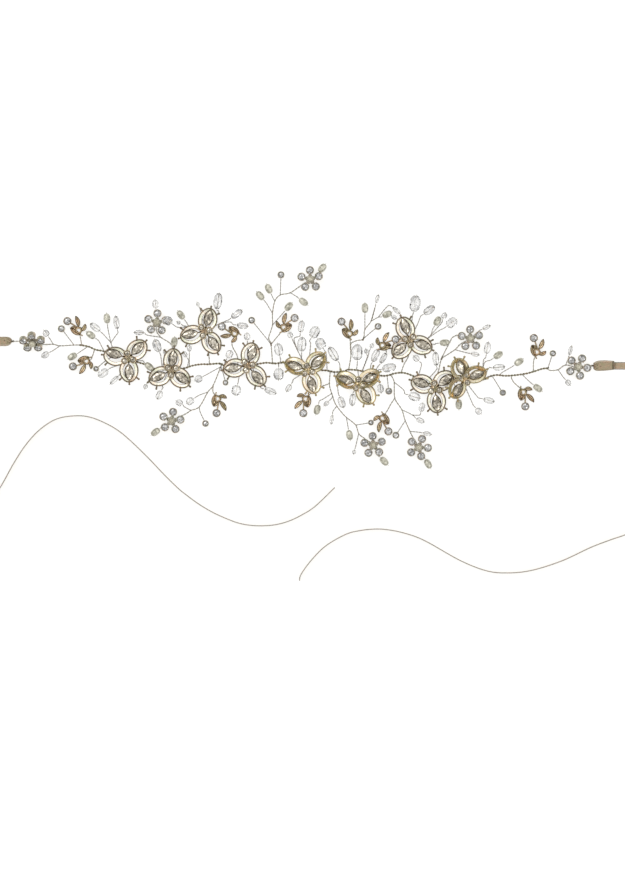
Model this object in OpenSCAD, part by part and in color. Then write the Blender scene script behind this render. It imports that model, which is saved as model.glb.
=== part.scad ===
// Bridal hair vine: a twisted gold wire stem that carries large three-petal flowers with marquise stones,
// small five-stone flowers, leaf clusters, rice pearls and faceted crystal beads, and ties on with two ribbons.
// It lies on its back: +X to the right along the stem, +Y to the top of the vine, +Z out of its face.
// All sizes are in millimetres.

/* [Large flowers] */
// Middle of a large flower to the tip of a petal
petal_length = 15.4; // [14.5:0.1:16]
// Across a petal's wire frame
petal_width = 12.6; // [11:0.2:13]
// Wire of a petal's frame, thick
petal_wire = 1.1; // [0.9:0.1:1.2]
// Marquise stone, long way
marquise_length = 10.4; // [9.6:0.1:10.6]
// Marquise stone, short way
marquise_width = 5.2; // [4.6:0.1:5.6]
// Round stones at the middle of a large flower, across
heart_stone = 3.7; // [3.2:0.1:3.8]

/* [Small flowers and leaves] */
// Round stones of a small flower or a leaf cluster, across
round_stone = 4.4; // [4:0.1:4.6]
// Middle of a small flower to the middle of its stones
ring_radius = 5.9; // [5.6:0.1:6.4]
// Pearl at the middle of a small flower, across
middle_pearl = 4.4; // [4:0.1:4.8]
// Middle of a leaf cluster to the middle of its stone
leaf_reach = 8.4; // [8.2:0.1:9]

/* [Beads] */
// Rice pearl, long way
pearl_length = 6.5; // [6:0.1:7]
// Rice pearl, short way
pearl_width = 4.5; // [4:0.1:5]
// Hole through a bead or pearl
bore_d = 1.1; // [1:0.05:1.3]

/* [Wires] */
// Twisted wire of the stem, thick
stem_d = 1.4; // [1.2:0.1:1.6]
// Twisted wire of the side branches, thick
branch_d = 1; // [0.9:0.05:1.1]
// Wire that carries one bead, thick
sprig_d = 0.8; // [0.6:0.05:0.85]

/* [Ribbon] */
// Ribbon, wide
ribbon_w = 5; // [4:0.5:6]
// Ribbon, thick
ribbon_t = 1; // [1:0.1:1.2]
// Sewn ribbon fold at each end of the wire, long
fold_length = 13.5; // [12:0.5:14]
// Sewn ribbon fold, wide
fold_w = 6.8; // [6:0.2:7.4]
// Sewn ribbon fold, thick
fold_t = 2.4; // [2.2:0.1:3]

/* [Hidden] */
$fn = 32;

gold = "#96825F";
bright_gold = "#B9964F";
crystal = "#E4E8E8";
rhinestone = "#9A9C9C";
ivory = "#D2D0B8";
tan_ribbon = "#A58E6C";

// Large flowers, lying on the stem. Columns: x, y, then for each petal [direction of its stone, how far it is
// slid outward, rise of its tip in degrees, roll about its own length, turn of its frame from its stone],
// and how far the flower is raised off the stem.
FLOWERS = [
  [-113, 5.5, [[164, 0.5, 0, 0, 9], [46, -0.4, 4, 0, -2], [-87, 0, 0, 0, -1]], 0],
  [-85, -2.5, [[83, -1.3, 6, 0, 0], [204, 0.4, 0, 0, 3], [-36, -0.8, 4, 0, -5]], 0],
  [-63.5, 23, [[74, -0.5, 0, 0, 1], [192, 0.6, 0, 0, 4], [-55, 0.6, 0, 0, -5]], 0],
  [-35.5, 0.5, [[72, -0.4, 4, 0, 5], [188, 0.5, 0, 0, 2], [-51, 0.5, 0, 0, 1]], 0],
  [3.5, -2.5, [[167, 0.5, 14, 24, -5], [41, -0.4, 12, -8, 4], [-75, 0, 0, 0, 3]], 0.9],
  [36.5, -11.5, [[168, 0.3, 15, 26, -6], [23, 0, 18, -24, 6], [-60, -0.3, 5, 0, 6]], 0.9],
  [69.5, 17, [[108, 0.2, 0, 0, 2], [-19, -0.1, 0, 0, -4], [222, -0.8, 0, 0, 4]], 0],
  [86, -14, [[160, 0.5, 0, 0, 2], [37, -0.8, 0, 0, 4], [-84, 0.5, 0, 0, 0]], 0],
  [105, -8, [[112, -0.4, 20, 12, 4], [24, 0, 18, 24, 0], [234, 0.4, 20, -24, -4]], 0.85],
];

// Small flowers. Columns: x, y, height of its back, direction of its first stone, lean in degrees.
SMALL_FLOWERS = [
  [-175, 16.7, 6.4, 19, 48],
  [-94.5, 28.5, 2.9, 86, 0],
  [-85, -35.3, 2.9, 80, 0],
  [5, 56.5, 2.9, 92, 0],
  [45.9, -51, 2.9, 94, 0],
  [75.4, -52.5, 2.9, 69, 0],
  [108.9, 18.1, 2.9, 92, 0],
  [178.8, -0.2, 2.9, 65, 0],
];

// Leaf clusters. Columns: x, y, direction in which its stone stands, 1 or -1 for the mirrored casting,
// height of its back.
LEAF_CLUSTERS = [
  [-145.5, 25, 148, 1, 1.25],
  [-140.9, 2.2, 195, -1, 1.25],
  [-45.5, 21, 144, -1, 1.25],
  [-54.2, -22, 259, -1, 1.25],
  [-12.2, 26.9, 33, -1, 1.25],
  [0.8, -21.9, 268, 1, 1.25],
  [30.8, 22.8, 131, 1, 1.25],
  [52.3, 15, 17, -1, 4.2],
  [51.4, -34.9, -59, 1, 1.25],
  [153, 10.6, 110, 1, 1.25],
  [144.6, -17.5, 270, -1, 1.25],
];

// Round stones that stand alone at the end of a wire. Columns: x, y, across, bends of the wire.
SINGLE_STONES = [
  [-156.5, 24.5, 3.6, [[-148.5, 14]]],
  [-134, -1.5, 2.8, [[-122, 7.5], [-129, 3]]],
  [-33, 30, 3.6, [[-20.5, 14.5], [-24, 19]]],
  [-50, -10.5, 2.8, [[-53, 0], [-52, -3]]],
  [-14, 59.5, 3.6, [[-14.5, 46.5]]],
  [49, 26, 3.6, [[39.5, 18], [44, 22]]],
  [56, -16, 3.6, [[55, -6]]],
  [44.4, -36.4, 2.8, [[34.5, -38]]],
  [60.6, -44.6, 3.6, [[66.5, -35.5]]],
  [-63, -37, 3.4, [[-67, -26], [-66.5, -29.5]]],
  [130, -17, 3.2, [[123.5, -6.5]]],
  [162.5, 8.5, 3.2, [[159.5, -1]]],
];

// Rice pearls. Columns: x, y, direction of the wire through it, height above the floor, bends of the wire.
PEARLS = [
  [-137.5, 20.5, 144, 0, [[-129, 10], [-132, 16]]],
  [-127, 31.2, 94, 0, [[-122, 8], [-124.5, 15.5]]],
  [-149.5, 6.5, 209, 0, [[-139.5, 13], [-144, 10]]],
  [-99.5, 0, -40, 1.6, [[-109.5, 3.5]]],
  [-83.3, 15.9, 85, 0, [[-84, -2]]],
  [-79, 33.5, 127, 0, [[-63.2, 22.8], [-73, 26]]],
  [-9, 39, 49, 0, [[-19.5, 27], [-16, 31]]],
  [-22, 50.5, 115, 0, [[-18, 42.5]]],
  [-27.5, 46, 130, 0, [[-19.5, 34.5], [-23, 40.5]]],
  [12.8, 63.9, 50, 0, [[4.7, 56.2, 2.05]]],
  [0.6, 42, -38, 0, [[-8, 48]]],
  [9.5, -28, 255, 0, [[19, -17.5], [13.5, -21]]],
  [40.5, 38, 90, 0, [[40.5, 24]]],
  [54.9, 33.9, 25, 0, [[44.5, 29.5], [49, 32]]],
  [87.5, 29.5, 60, 0, [[69.3, 17.2], [81.5, 18.5]]],
  [92.3, 15.5, 5, 0, [[69.7, 16.8], [85, 14.5]]],
  [127, 7.5, 34, 0, [[117, -8.5], [118, 2]]],
  [101.5, -24.6, 270, 0, [[98, -10]]],
  [140.5, 3, 35, 0, [[128, -6], [129.5, -4]]],
  [152.8, -14, -38, 0, [[142.5, -5]]],
  [-95.5, -42.5, 217, 0, [[-85.2, -34.8, 2.05]]],
  [30.5, -44.5, 280, 0, [[28.5, -33]]],
  [53, -61.5, -45, 0, [[45.6, -50.3, 2.05]]],
  [81.5, -63.2, -60, 0, [[75.3, -51.6, 2.05]]],
];

// Faceted crystal beads of the left half, then of the right half.
// Columns: x, y, direction of the wire through it, length, width, bends of the wire, height if not on the floor.
CRYSTALS_LEFT = [
  [-166.5, 21.5, 124, 4.5, 4.5, [[-162, 14.5]]],
  [-167, 7.5, 211, 5.2, 4.4, [[-157.5, 13.5]]],
  [-134.6, 25.4, 140, 7.6, 4.8, [[-124.5, 15.5]]],
  [-120.8, 28.6, 97, 8.2, 4.2, [[-124.5, 15.5], [-121.5, 20]]],
  [-129.4, -4.3, 215, 7.2, 5.5, [[-113, 5.5], [-120, 1]]],
  [-122.3, -8.8, 225, 7, 3.4, [[-113, 5.5], [-118, -3]]],
  [-106.2, 22.1, 178, 6, 3.6, [[-92, 19], [-101, 20.5]]],
  [-102, -13, 250, 3.2, 3.2, [[-93, -1.5], [-100, -9]]],
  [-93, -18.5, 245, 5.8, 4.6, [[-87, -2], [-91, -12]]],
  [-95.5, 40.5, 95, 5.4, 4.4, [[-94.5, 28.1, 2.05]]],
  [-87, 29.5, 143, 6, 6, [[-72.5, 26], [-80, 25.5]], 6.1],
  [-80.5, 28.5, 150, 2.6, 2.6, [[-72.5, 26]]],
  [-94.5, 13.5, 110, 8.2, 5.8, [[-91, -2]]],
  [-89.5, 9.5, 80, 2.6, 2.6, [[-91, -2], [-90, 5]]],
  [-76.4, 8, 120, 4, 3.2, [[-75, -1]]],
  [-73.5, 11.8, 90, 4, 3.2, [[-73.5, 0.5]]],
  [-67.5, -8, 207, 5.2, 5.2, [[-53, 0], [-62, -5]]],
  [-54.9, 42.4, 82, 10.2, 6, [[-63.8, 22.6], [-54.9, 34.6]]],
  [-68, 40.5, 110, 2.6, 2.6, [[-63.3, 22.4], [-66.5, 37]]],
  [-42.7, 34.2, 35, 8.2, 4.8, [[-63.9, 22.9], [-52.5, 28.5]]],
  [-39, 26.5, -8, 7, 4.6, [[-52.5, 28.5], [-47, 29]]],
  [-47.5, 8, 60, 5.2, 5.2, [[-51, 1]]],
  [-36, 19.5, 92, 4.6, 4.6, [[-35.5, 0.5]]],
  [-43, -15.5, 257, 6.6, 6.6, [[-39.5, 0.5], [-41.5, -8]]],
  [-20.8, -16, -20, 7.8, 4.8, [[-33, 1], [-29.5, -9]]],
  [-15.5, -5, 270, 7.6, 7.2, [[-15.5, 2.3]]],
  [-15.5, 11, 100, 7.8, 6.2, [[-14.5, 2.4]]],
  [-8, 20.5, 115, 4, 4, [[3.5, -2.5], [-3, 10]]],
  [-0.8, 26, 80, 7.4, 4.6, [[-3, 10], [-5.5, 18]]],
  [-0.4, 14.4, 88, 9, 6.4, [[-0.6, -0.6]]],
];

CRYSTALS_RIGHT = [
  [7.8, 22.2, 60, 7.8, 7, [[3.5, -2.5], [5.2, 14]]],
  [11.8, 14.6, 120, 7.6, 7, [[16, -2.7], [15.5, 7]]],
  [20, 8.2, 122, 10, 5.6, [[24.5, -3.3]]],
  [-9, -14, 238, 5.2, 4, [[3.5, -2.5], [-5.5, -8]]],
  [15.5, -24, 225, 4, 3.2, [[19.5, -19]]],
  [19, -34.5, 262, 5.8, 2.8, [[22, -26]]],
  [25.4, -23.2, -70, 7.4, 5, [[20.5, -3.5], [22.5, -12]]],
  [32.5, -21.6, 265, 7.6, 4.6, [[36, -2.5], [36.5, -11.5], [33.5, -16]]],
  [35.5, 9.2, 90, 10, 7.6, [[35, -2.5]]],
  [45, 13.5, 65, 3, 3, [[38.5, -3.5], [42.5, 6.5]]],
  [41.3, 10, 100, 3, 3, [[38.5, -3.5], [42, 6]]],
  [47.3, 7.2, 65, 8.6, 5, [[44, -4.3]]],
  [52.5, 5.5, 60, 7.4, 3.8, [[46, -4.8], [49, 0]]],
  [56.2, -0.8, 12, 8.8, 6, [[50, -5.8]]],
  [48.5, 44, 75, 5.2, 2.8, [[44.5, 29.5], [47, 38]]],
  [61, 36.4, -42, 6, 3, [[49, 32], [55.5, 39.4]]],
  [59.4, 32, 150, 3.8, 3, [[69.8, 16.5], [62.6, 29.4]]],
  [73, 40.8, 82, 10.4, 7.6, [[69.4, 16.4], [71.5, 33]]],
  [82.2, 36.6, 36, 8.2, 5.4, [[69.2, 16.7], [74.5, 27]]],
  [92, 33, 65, 4, 4, [[81.5, 18.5], [90, 28]]],
  [96.8, 28.4, 35, 7.6, 6.6, [[81.5, 18.5], [89, 23.5]]],
  [86.5, 5, 94, 8.6, 4.6, [[80, -10]]],
  [73.8, 5.3, 135, 4.6, 4.4, [[74.5, -8], [76.5, -2]]],
  [72.6, -19.6, -18, 7.6, 6, [[59.5, -10], [65.5, -15]]],
  [76.5, -35, -25, 5.2, 3.8, [[64.5, -28], [71.5, -31.5]]],
  [77.5, -26.5, 78, 5.8, 4.4, [[71.5, -31.5], [76, -31.5]]],
  [81, -43.6, -10, 5.2, 3.2, [[69.5, -42]]],
  [119.5, 25.5, 25, 5.2, 3.2, [[108.9, 18.1]]],
  [112, 8, -10, 5.2, 3.2, [[99, 11]]],
  [120, 12, 80, 7.4, 4.6, [[117, -8.5], [117.5, 3.5]]],
  [127.5, -0.5, 5, 7.4, 4.6, [[118, -7.5], [121, -1]]],
  [121, -22, -15, 7, 4.4, [[105, -8.5], [113.5, -19.5]]],
  [114.3, -29, -50, 4.6, 4.6, [[104, -9], [110, -23]]],
  [174, 10.5, 75, 5.8, 2.8, [[171, 1]]],
  [172.5, -10.5, -50, 4, 4, [[166, -2]]],
  [-73, -22.5, 215, 5.2, 5.2, [[-61.5, -16.5], [-67, -18.5]]],
  [-80, -23.5, 150, 4.6, 4.6, [[-72.5, -28.5], [-77, -26]]],
  [33.5, -55.5, 255, 2.8, 2.8, [[36.5, -43.5]]],
  [50.6, -14.2, -82, 5.6, 4.4, [[48.8, -5.6]]],
];

// The stem, from the left ribbon fold to the right one. Rows: x, y, z of the bends of the wire.
STEM_LEFT = [
  [-194, 16.5, 1.2], [-189, 16.5, 1.2], [-183, 16.5, 2.6], [-175.5, 17.8, 5.4], [-169, 14.5, 1.4],
  [-162, 14.5, 0.5], [-157.5, 13.5, 0.5], [-148.5, 14, 0.5], [-143.5, 14, 0.7],
];
STEM_MIDDLE = [
  [-144.5, 14, 0.7], [-139, 13, 0.7], [-134.5, 11, 0.7], [-129, 10, 0.7], [-122, 8, 0.7], [-113, 5.5, 0.7],
  [-109.5, 3.5, 0.7], [-102.5, 1.5, 0.7], [-98, -1, 0.7], [-91, -2, 0.7], [-84, -2, 0.7], [-76.5, -1, 0.7],
  [-72, 0.5, 0.7], [-66, 1.5, 0.7], [-61, 1.5, 0.7], [-53.5, 2, 0.7], [-50.5, 0.5, 0.7], [-42, 0.5, 0.7],
  [-35, 0.5, 0.7], [-30, 1.5, 0.7], [-23.5, 2.5, 0.7], [-18, 2, 0.7], [-12.5, 2.5, 0.7], [-5, 1, 0.7],
  [3.5, -2, 0.7], [15, -2.5, 0.7], [20.5, -3.5, 0.7], [27, -3, 0.7], [30, -2, 0.7], [36.5, -2.5, 0.7],
  [43, -4, 0.7], [51.5, -6, 0.7], [56.5, -5.5, 0.7], [59.5, -4.5, 0.7], [65, -4, 0.7], [70.5, -5.5, 0.7],
  [78, -9, 0.7], [86, -12, 0.7], [96, -10.5, 0.7], [105, -8.5, 0.7], [117, -8.5, 0.7], [121.5, -6.5, 0.7],
  [126, -5.5, 0.7], [132, -6, 0.7], [139, -5.5, 0.7], [145.5, -4.5, 0.7], [151, -3, 0.7], [155.5, -1.5, 0.7],
  [159.5, -1, 0.7],
];
STEM_RIGHT = [
  [158.5, -1, 0.6], [161, -2.5, 0.5], [166, -2, 0.5], [171, 1, 0.5], [178.5, -0.5, 2.1], [188, 0.5, 1.2],
  [194, 0.5, 1.2],
];

// Side branches that carry a small flower or several sprigs. Rows: x, y of the bends of the wire, and z where it
// isn't low.
BRANCHES = [
  [[-52.5, 1.5], [-58, -12], [-61.5, -16.5], [-67, -26], [-72.5, -28.5], [-76.5, -31], [-85.5, -35, 2.1]],
  [[-19.5, 2], [-20.5, 14.5], [-22, 18.5], [-20.5, 23.5], [-19.5, 27.5], [-19.5, 34.5], [-18, 42.5],
   [-14.5, 46.5], [-8, 48], [-0.5, 53], [5, 56.5, 2.1]],
  [[18, -3], [17.5, -12], [19.5, -19], [21.5, -24.5], [26, -30.5], [28.5, -33], [34.5, -38], [36.5, -43.5],
   [40, -46.5], [46, -50.5, 2.1]],
  [[57.5, -5.5], [59.5, -10], [60, -20.5], [64.5, -28], [66.5, -34.5], [69.5, -41.5], [71.5, -45.5],
   [75.5, -52, 2.1]],
  [[31.5, 8], [31.3, 14.5], [35, 16.8], [39.5, 18], [40.5, 24], [44.5, 29.5], [47, 38]],
  [[86, -12], [88.5, -2], [90.5, 5.5], [96, 16.5], [97.5, 19], [102, 20.5], [108.9, 18.1, 2.1]],
  [[90.5, 5.5], [99, 11], [102.5, 14.5], [108.9, 18.1]],
  [[-84, -2], [-84, 8], [-85.5, 14.5], [-92, 19], [-95, 23.5], [-94.5, 28.5, 2.1]],
  [[-60.5, 1.5], [-61, 8], [-63.5, 23]],
  [[64, -4], [66, 1.5], [69, 7.5], [69.5, 17]],
];

// Wires that end under a leaf cluster, in the order of the clusters. Rows: x, y of the bends of the wire,
// and z where it isn't low.
LEAF_WIRES = [
  [[-143.5, 14], [-144.5, 19.5], [-145, 21.6]],
  [[-135, 11.5], [-137, 5.5], [-138.5, 3.8]],
  [[-42, 0.5], [-42.5, 7], [-45.5, 13], [-46, 17.5]],
  [[-58, -12], [-58.2, -16.5], [-55.8, -19.2]],
  [[-20.5, 14.5], [-15.5, 20.5], [-12.6, 23.7]],
  [[17.5, -11], [10, -14], [5.5, -17.2], [3.2, -19.5]],
  [[30, -2], [31.5, 8], [31, 16], [30.8, 19.4]],
  [[54.6, 9.2, 1.9], [53.8, 11.3, 2.9], [52.8, 13.2, 3.5]],
  [[60, -20.5], [57.3, -24.5], [55.3, -28.2], [53, -31.6]],
  [[150, -3.5], [150.2, 3.6], [151.6, 7.3]],
  [[135.5, -5.5], [136, -8], [138, -11], [142.6, -14.9]],
];

// Wraps where a branch leaves another wire. Columns: x, y, direction of the wrapped wire.
WRAPS = [
  [-84, -2, 0], [-61, 1.5, 0], [-53, 1.5, 165], [-19.5, 2.2, 0], [-20.5, 14.5, 100], [18, -3, 0],
  [57.5, -5.2, 15], [86, -12, -10], [90.5, 5.5, 68], [64, -4, 0], [39.5, 18, 70], [30, -2, 0],
  [-144, 14, 0], [159, -1, 10],
];

// Left ribbon, then right ribbon. Rows: x, y and turn of the ribbon, from 0 when flat to 90 when on edge.
RIBBON_LEFT = [
  [-202.7, 16.5, 0], [-208, 16.5, 0], [-214, 15, 0], [-226, 12, 10], [-238, 6, 40], [-250, -3, 75], [-260, -15, 90],
  [-267, -30, 90], [-270, -46, 90], [-269, -62, 90], [-263, -78, 90], [-253, -91, 90], [-240, -99, 90],
  [-226, -101, 90], [-213, -96, 90], [-203, -87, 90], [-196, -78, 90], [-187, -62, 90], [-179, -50, 90],
  [-170, -40.5, 90], [-159.5, -34, 90], [-147.5, -32, 90], [-137.5, -33, 90], [-126.5, -37.5, 90],
  [-118, -42.8, 90], [-109.5, -50.2, 90], [-99.5, -60, 90], [-90, -70, 90], [-80.5, -79.3, 90],
  [-75, -83.7, 90], [-67.5, -89.2, 90], [-59, -94.3, 90], [-50.5, -98.3, 90], [-42, -101.5, 90],
  [-34.5, -103, 90], [-26, -103.4, 90], [-17, -102.6, 90], [-8, -100, 90], [0.5, -95.8, 90],
  [8.5, -90.5, 90], [21, -78.5, 90],
];
RIBBON_RIGHT = [
  [202.7, 0.5, 0], [208, 0.5, 0], [214, 0, 0], [226, -3, 10], [238, -9, 40], [249, -18, 75], [257, -30, 90],
  [261, -44, 90], [260, -58, 90], [255, -72, 90], [245, -85, 90], [233, -95, 90], [219, -104, 90],
  [210, -109, 90], [200, -112.5, 90], [187, -117.5, 90], [168, -126.3, 90], [148, -132.5, 90],
  [132, -134, 90], [119, -132.5, 90], [102.5, -126, 90], [83, -115, 90], [73.5, -110.5, 90],
  [63.5, -107.5, 90], [55.5, -106, 90], [47.5, -105.5, 90], [37.5, -106.5, 90], [28, -109, 90],
  [15, -116.5, 90], [5.5, -126, 90], [-1, -135, 90], [-2, -139, 90],
];

CRYSTALS = concat(CRYSTALS_LEFT, CRYSTALS_RIGHT);

lift_step = 0.011;
stone_gap = 0.12;
collet_wall = 0.5;
cup_wall = 0.35;
cup_h = 2.6;
cup_floor = 1.3;
girdle_z = 2.3;
crown_h = 0.8;
pavilion_h = 0.85;
frame_z = 0.65;
back_h = 1.3;
heart_radius = 3.1;
marquise_x = 9.3;
ball_d = 1.5;
stub_d = 0.8;
leaf_h = 1.2;
eye = [-0.8, 1.2];
tip_r = 4.4;
flower_z = stem_d + 0.5;
wire_low = 0.5;
rise_run = 2;
stem_sides = 6;
branch_sides = 5;
sprig_sides = 4;
facets = 8;

// A petal's frame is two long arcs from the middle of the flower, joined by an arc of tip_r round the tip.
frame_half = (petal_width - petal_wire) / 2;
tip_x = petal_length - tip_r;
arc_a = (tip_x * tip_x - tip_r * tip_r) / (2 * tip_x);
arc_b = tip_r / tip_x;
arc_c = frame_half - arc_a * arc_b;
side_r = (arc_c - sqrt(arc_c * arc_c - arc_b * arc_b * (arc_a * arc_a + frame_half * frame_half))) / (arc_b * arc_b);
side_x = arc_a + arc_b * side_r;
side_y = side_r - frame_half;
join_angle = atan2(side_y, tip_x - side_x);
root_angle = atan2(side_y, -side_x);

function unit(v) = v / norm(v);
function along(direction) = [cos(direction), sin(direction), 0];

// Radius of the arc over a chord that bows out by sag.
function bow_radius(chord, sag) = (chord * chord / 4 + sag * sag) / (2 * sag);

// Directions of a polyline at each of its points, the mean of the two sides that meet there.
function heading(route, i) =
  let (last = len(route) - 1)
  unit(
    (i == 0 ? [0, 0, 0] : unit(route[i] - route[i - 1]))
    + (i == last ? [0, 0, 0] : unit(route[i + 1] - route[i]))
  );

// Faces of a closed skin over rings of n points, with a flat cap at each end.
function skin_faces(rings, n) = concat(
  [[for (k = [0:n - 1]) k]],
  [for (i = [0:rings - 2], k = [0:n - 1])
    [i * n + k, (i + 1) * n + k, (i + 1) * n + (k + 1) % n, i * n + (k + 1) % n]],
  [[for (k = [n - 1:-1:0]) (rings - 1) * n + k]]
);

// Round wire along a route of x, y, z points.
module wire(route, d, sides) {
  points = [
    for (i = [0:len(route) - 1])
      let (ahead = heading(route, i), side = unit(cross(ahead, [0, 0, 1])), up = cross(side, ahead))
      for (k = [0:sides - 1])
        route[i] + d / 2 * (cos(360 * k / sides) * up + sin(360 * k / sides) * side)
  ];
  polyhedron(points, skin_faces(len(route), sides), convexity = 6);
}

// Points of a wire that is low on the floor where its rows give no z.
function low_route(rows, lift) = [for (p = rows) [p[0], p[1], len(p) > 2 ? p[2] : wire_low + lift]];

// Wire that leaves its start low, then rises and runs straight through a bead.
module sprig(middle, direction, bead_length, bends, lift) {
  ahead = along(direction);
  entry = middle - ahead * (bead_length / 2 + 0.7);
  last = bends[len(bends) - 1];
  approach = entry - ahead * rise_run;
  far = norm([entry[0] - last[0], entry[1] - last[1]]) > rise_run + 1;
  wire(
    concat(
      low_route(bends, lift),
      far ? low_route([[approach[0], approach[1]]], lift) : [],
      [entry, middle + ahead * (bead_length / 2 + 0.5)]
    ),
    sprig_d, sprig_sides
  );
}

// Outline with two pointed ends and bowed sides.
module marquise_outline(long, short) {
  r = bow_radius(long, short / 2);
  intersection() {
    translate([0, r - short / 2]) circle(r, $fn = 96);
    translate([0, short / 2 - r]) circle(r, $fn = 96);
  }
}

// Leaf outline from the origin along +X, bowed by out on its +Y side and by back on the other.
module leaf_outline(long, out, back) {
  r_out = bow_radius(long, out);
  r_back = bow_radius(long, back);
  intersection() {
    translate([long / 2, out - r_out]) circle(r_out, $fn = 96);
    translate([long / 2, r_back - back]) circle(r_back, $fn = 96);
  }
}

function round_points(d) = [for (k = [0:facets - 1]) d / 2 * [cos(360 * k / facets), sin(360 * k / facets)]];

function marquise_points(long, short) =
  let (
    r = bow_radius(long, short / 2),
    edge = [for (x = [long / 4, 0, -long / 4]) [x, sqrt(r * r - x * x) - r + short / 2]]
  )
  concat([[long / 2, 0]], edge, [[-long / 2, 0]], [for (i = [2:-1:0]) [edge[i][0], -edge[i][1]]]);

// Cut stone on its girdle plane: pavilion below, crown and flat table above.
module cut_stone(outline) {
  layers = [[0.3, -pavilion_h], [1, 0], [0.6, crown_h]];
  points = [for (s = layers, p = outline) [p[0] * s[0], p[1] * s[0], s[1]]];
  polyhedron(points, skin_faces(len(layers), len(outline)));
}

module petal_place(p) {
  rotate([0, 0, p[0]]) translate([p[1], 0, 0]) rotate([0, -p[2], 0]) rotate([p[3], 0, 0]) children();
}

module knob(from, to) {
  run = to - from;
  translate([from[0], from[1], frame_z])
    rotate([0, 90, atan2(run[1], run[0])]) cylinder(h = norm(run), d = stub_d);
  translate([to[0], to[1], frame_z]) sphere(d = ball_d);
}

// Petal along +X: an open wire frame with three ball-ended stubs, and the collet of its stone on a backbone.
module petal(turn) {
  rotate([0, 0, turn]) {
    for (side = [-1, 1])
      translate([side_x, -side * side_y, frame_z]) rotate([0, 0, side > 0 ? join_angle - 1 : -root_angle])
        rotate_extrude(angle = root_angle - join_angle + 1) translate([side_r, 0]) circle(d = petal_wire);
    translate([tip_x, 0, frame_z]) rotate([0, 0, -join_angle])
      rotate_extrude(angle = 2 * join_angle) translate([tip_r, 0]) circle(d = petal_wire + 0.06);
    knob([petal_length, 0], [petal_length + 1.6, 0]);
    for (side = [-1, 1]) knob([petal_length - 3.2, side * 4.1], [petal_length - 1.5, side * 6.2]);
  }
  translate([-petal_wire, -0.5, 0]) cube([petal_length + petal_wire, 1, 0.75]);
  translate([marquise_x, 0, 0]) difference() {
    linear_extrude(cup_h) marquise_outline(marquise_length + 2.4 * collet_wall, marquise_width + 2 * collet_wall);
    translate([0, 0, cup_floor])
      linear_extrude(cup_h) marquise_outline(marquise_length + 3 * stone_gap, marquise_width + 2 * stone_gap);
  }
}

function mid_direction(petals, i) =
  let (a = petals[i][0], b = petals[(i + 1) % 3][0], turn = ((a - b) % 360 + 360) % 360)
  turn < 180 ? a - turn / 2 : a + (360 - turn) / 2;

module heart_places(petals) {
  for (i = [0:2]) rotate([0, 0, mid_direction(petals, i)]) translate([heart_radius, 0, 0]) children();
}

module flower_setting(f) {
  translate([f[0], f[1], flower_z + f[3]]) difference() {
    union() {
      cylinder(h = back_h, r = heart_radius);
      for (p = f[2]) petal_place(p) petal(p[4]);
      heart_places(f[2]) cylinder(h = cup_h, d = heart_stone + 2 * (stone_gap + cup_wall));
    }
    heart_places(f[2]) translate([0, 0, cup_floor]) cylinder(h = 3 * cup_h, d = heart_stone + 2 * stone_gap);
  }
}

module flower_stones(f) {
  translate([f[0], f[1], flower_z + f[3]]) {
    for (p = f[2])
      petal_place(p) translate([marquise_x, 0, girdle_z])
        cut_stone(marquise_points(marquise_length, marquise_width));
    heart_places(f[2]) translate([0, 0, girdle_z]) cut_stone(round_points(heart_stone));
  }
}

module small_flower_place(f) {
  translate([f[0], f[1], f[2]]) rotate([f[4], 0, 0]) rotate([0, 0, f[3]]) children();
}

module stone_cup(stone_d) {
  difference() {
    cylinder(h = cup_h, d = stone_d + 2 * (stone_gap + cup_wall));
    translate([0, 0, cup_floor]) cylinder(h = cup_h, d = stone_d + 2 * stone_gap);
  }
}

module small_flower_setting() {
  cylinder(h = 0.9, d = middle_pearl - 0.6);
  for (k = [0:4]) rotate([0, 0, 72 * k]) {
    translate([0.5, -0.6, 0.1]) cube([ring_radius - 2, 1.2, 0.8]);
    translate([ring_radius, 0, 0]) stone_cup(round_stone);
  }
}

module small_flower_stones() {
  for (k = [0:4]) rotate([0, 0, 72 * k]) translate([ring_radius, 0, girdle_z])
    cut_stone(round_points(round_stone));
}

// Casting of four curved leaves round an open eye, with a stone cup on a short stalk along +X.
module leaf_cluster() {
  linear_extrude(leaf_h) difference() {
    union() {
      translate(eye) circle(d = 4.6);
      translate([0.8, 0]) circle(d = 2.6);
      translate([-5, 2.4]) square([2.6, 0.9]);
      translate([-3.6, 3.1]) rotate(-3) leaf_outline(8.3, 1.7, 0.9);
      translate([-2.4, 0.8]) rotate(-88) leaf_outline(5.6, 0.3, 2);
      translate([0.2, -0.2]) rotate(-44) leaf_outline(8, 0.7, 1.8);
      translate([0.4, 0.4]) rotate(31) leaf_outline(4.8, 0.6, 1.2);
    }
    translate(eye) circle(d = 1.9);
  }
  translate([1.2, -0.5, 0.1]) cube([leaf_reach - 3.4, 1, 0.9]);
  translate([leaf_reach, 0, 0]) stone_cup(round_stone);
}

module leaf_place(c) {
  translate([c[0], c[1], c[4]]) rotate([0, 0, c[2]]) mirror([0, c[3] < 0 ? 1 : 0, 0]) children();
}

// Pearl along +Z: an oval of one arc, drilled through.
module rice_pearl() {
  bore_r = bore_d / 2;
  bow = (pow(pearl_length / 2, 2) + pow(bore_r, 2) - pow(pearl_width / 2, 2)) / (pearl_width - bore_d);
  rotate_extrude() intersection() {
    translate([-bow, 0]) circle(pearl_width / 2 + bow, $fn = 96);
    translate([bore_r, -pearl_length]) square([pearl_width, 2 * pearl_length]);
  }
}

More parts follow.
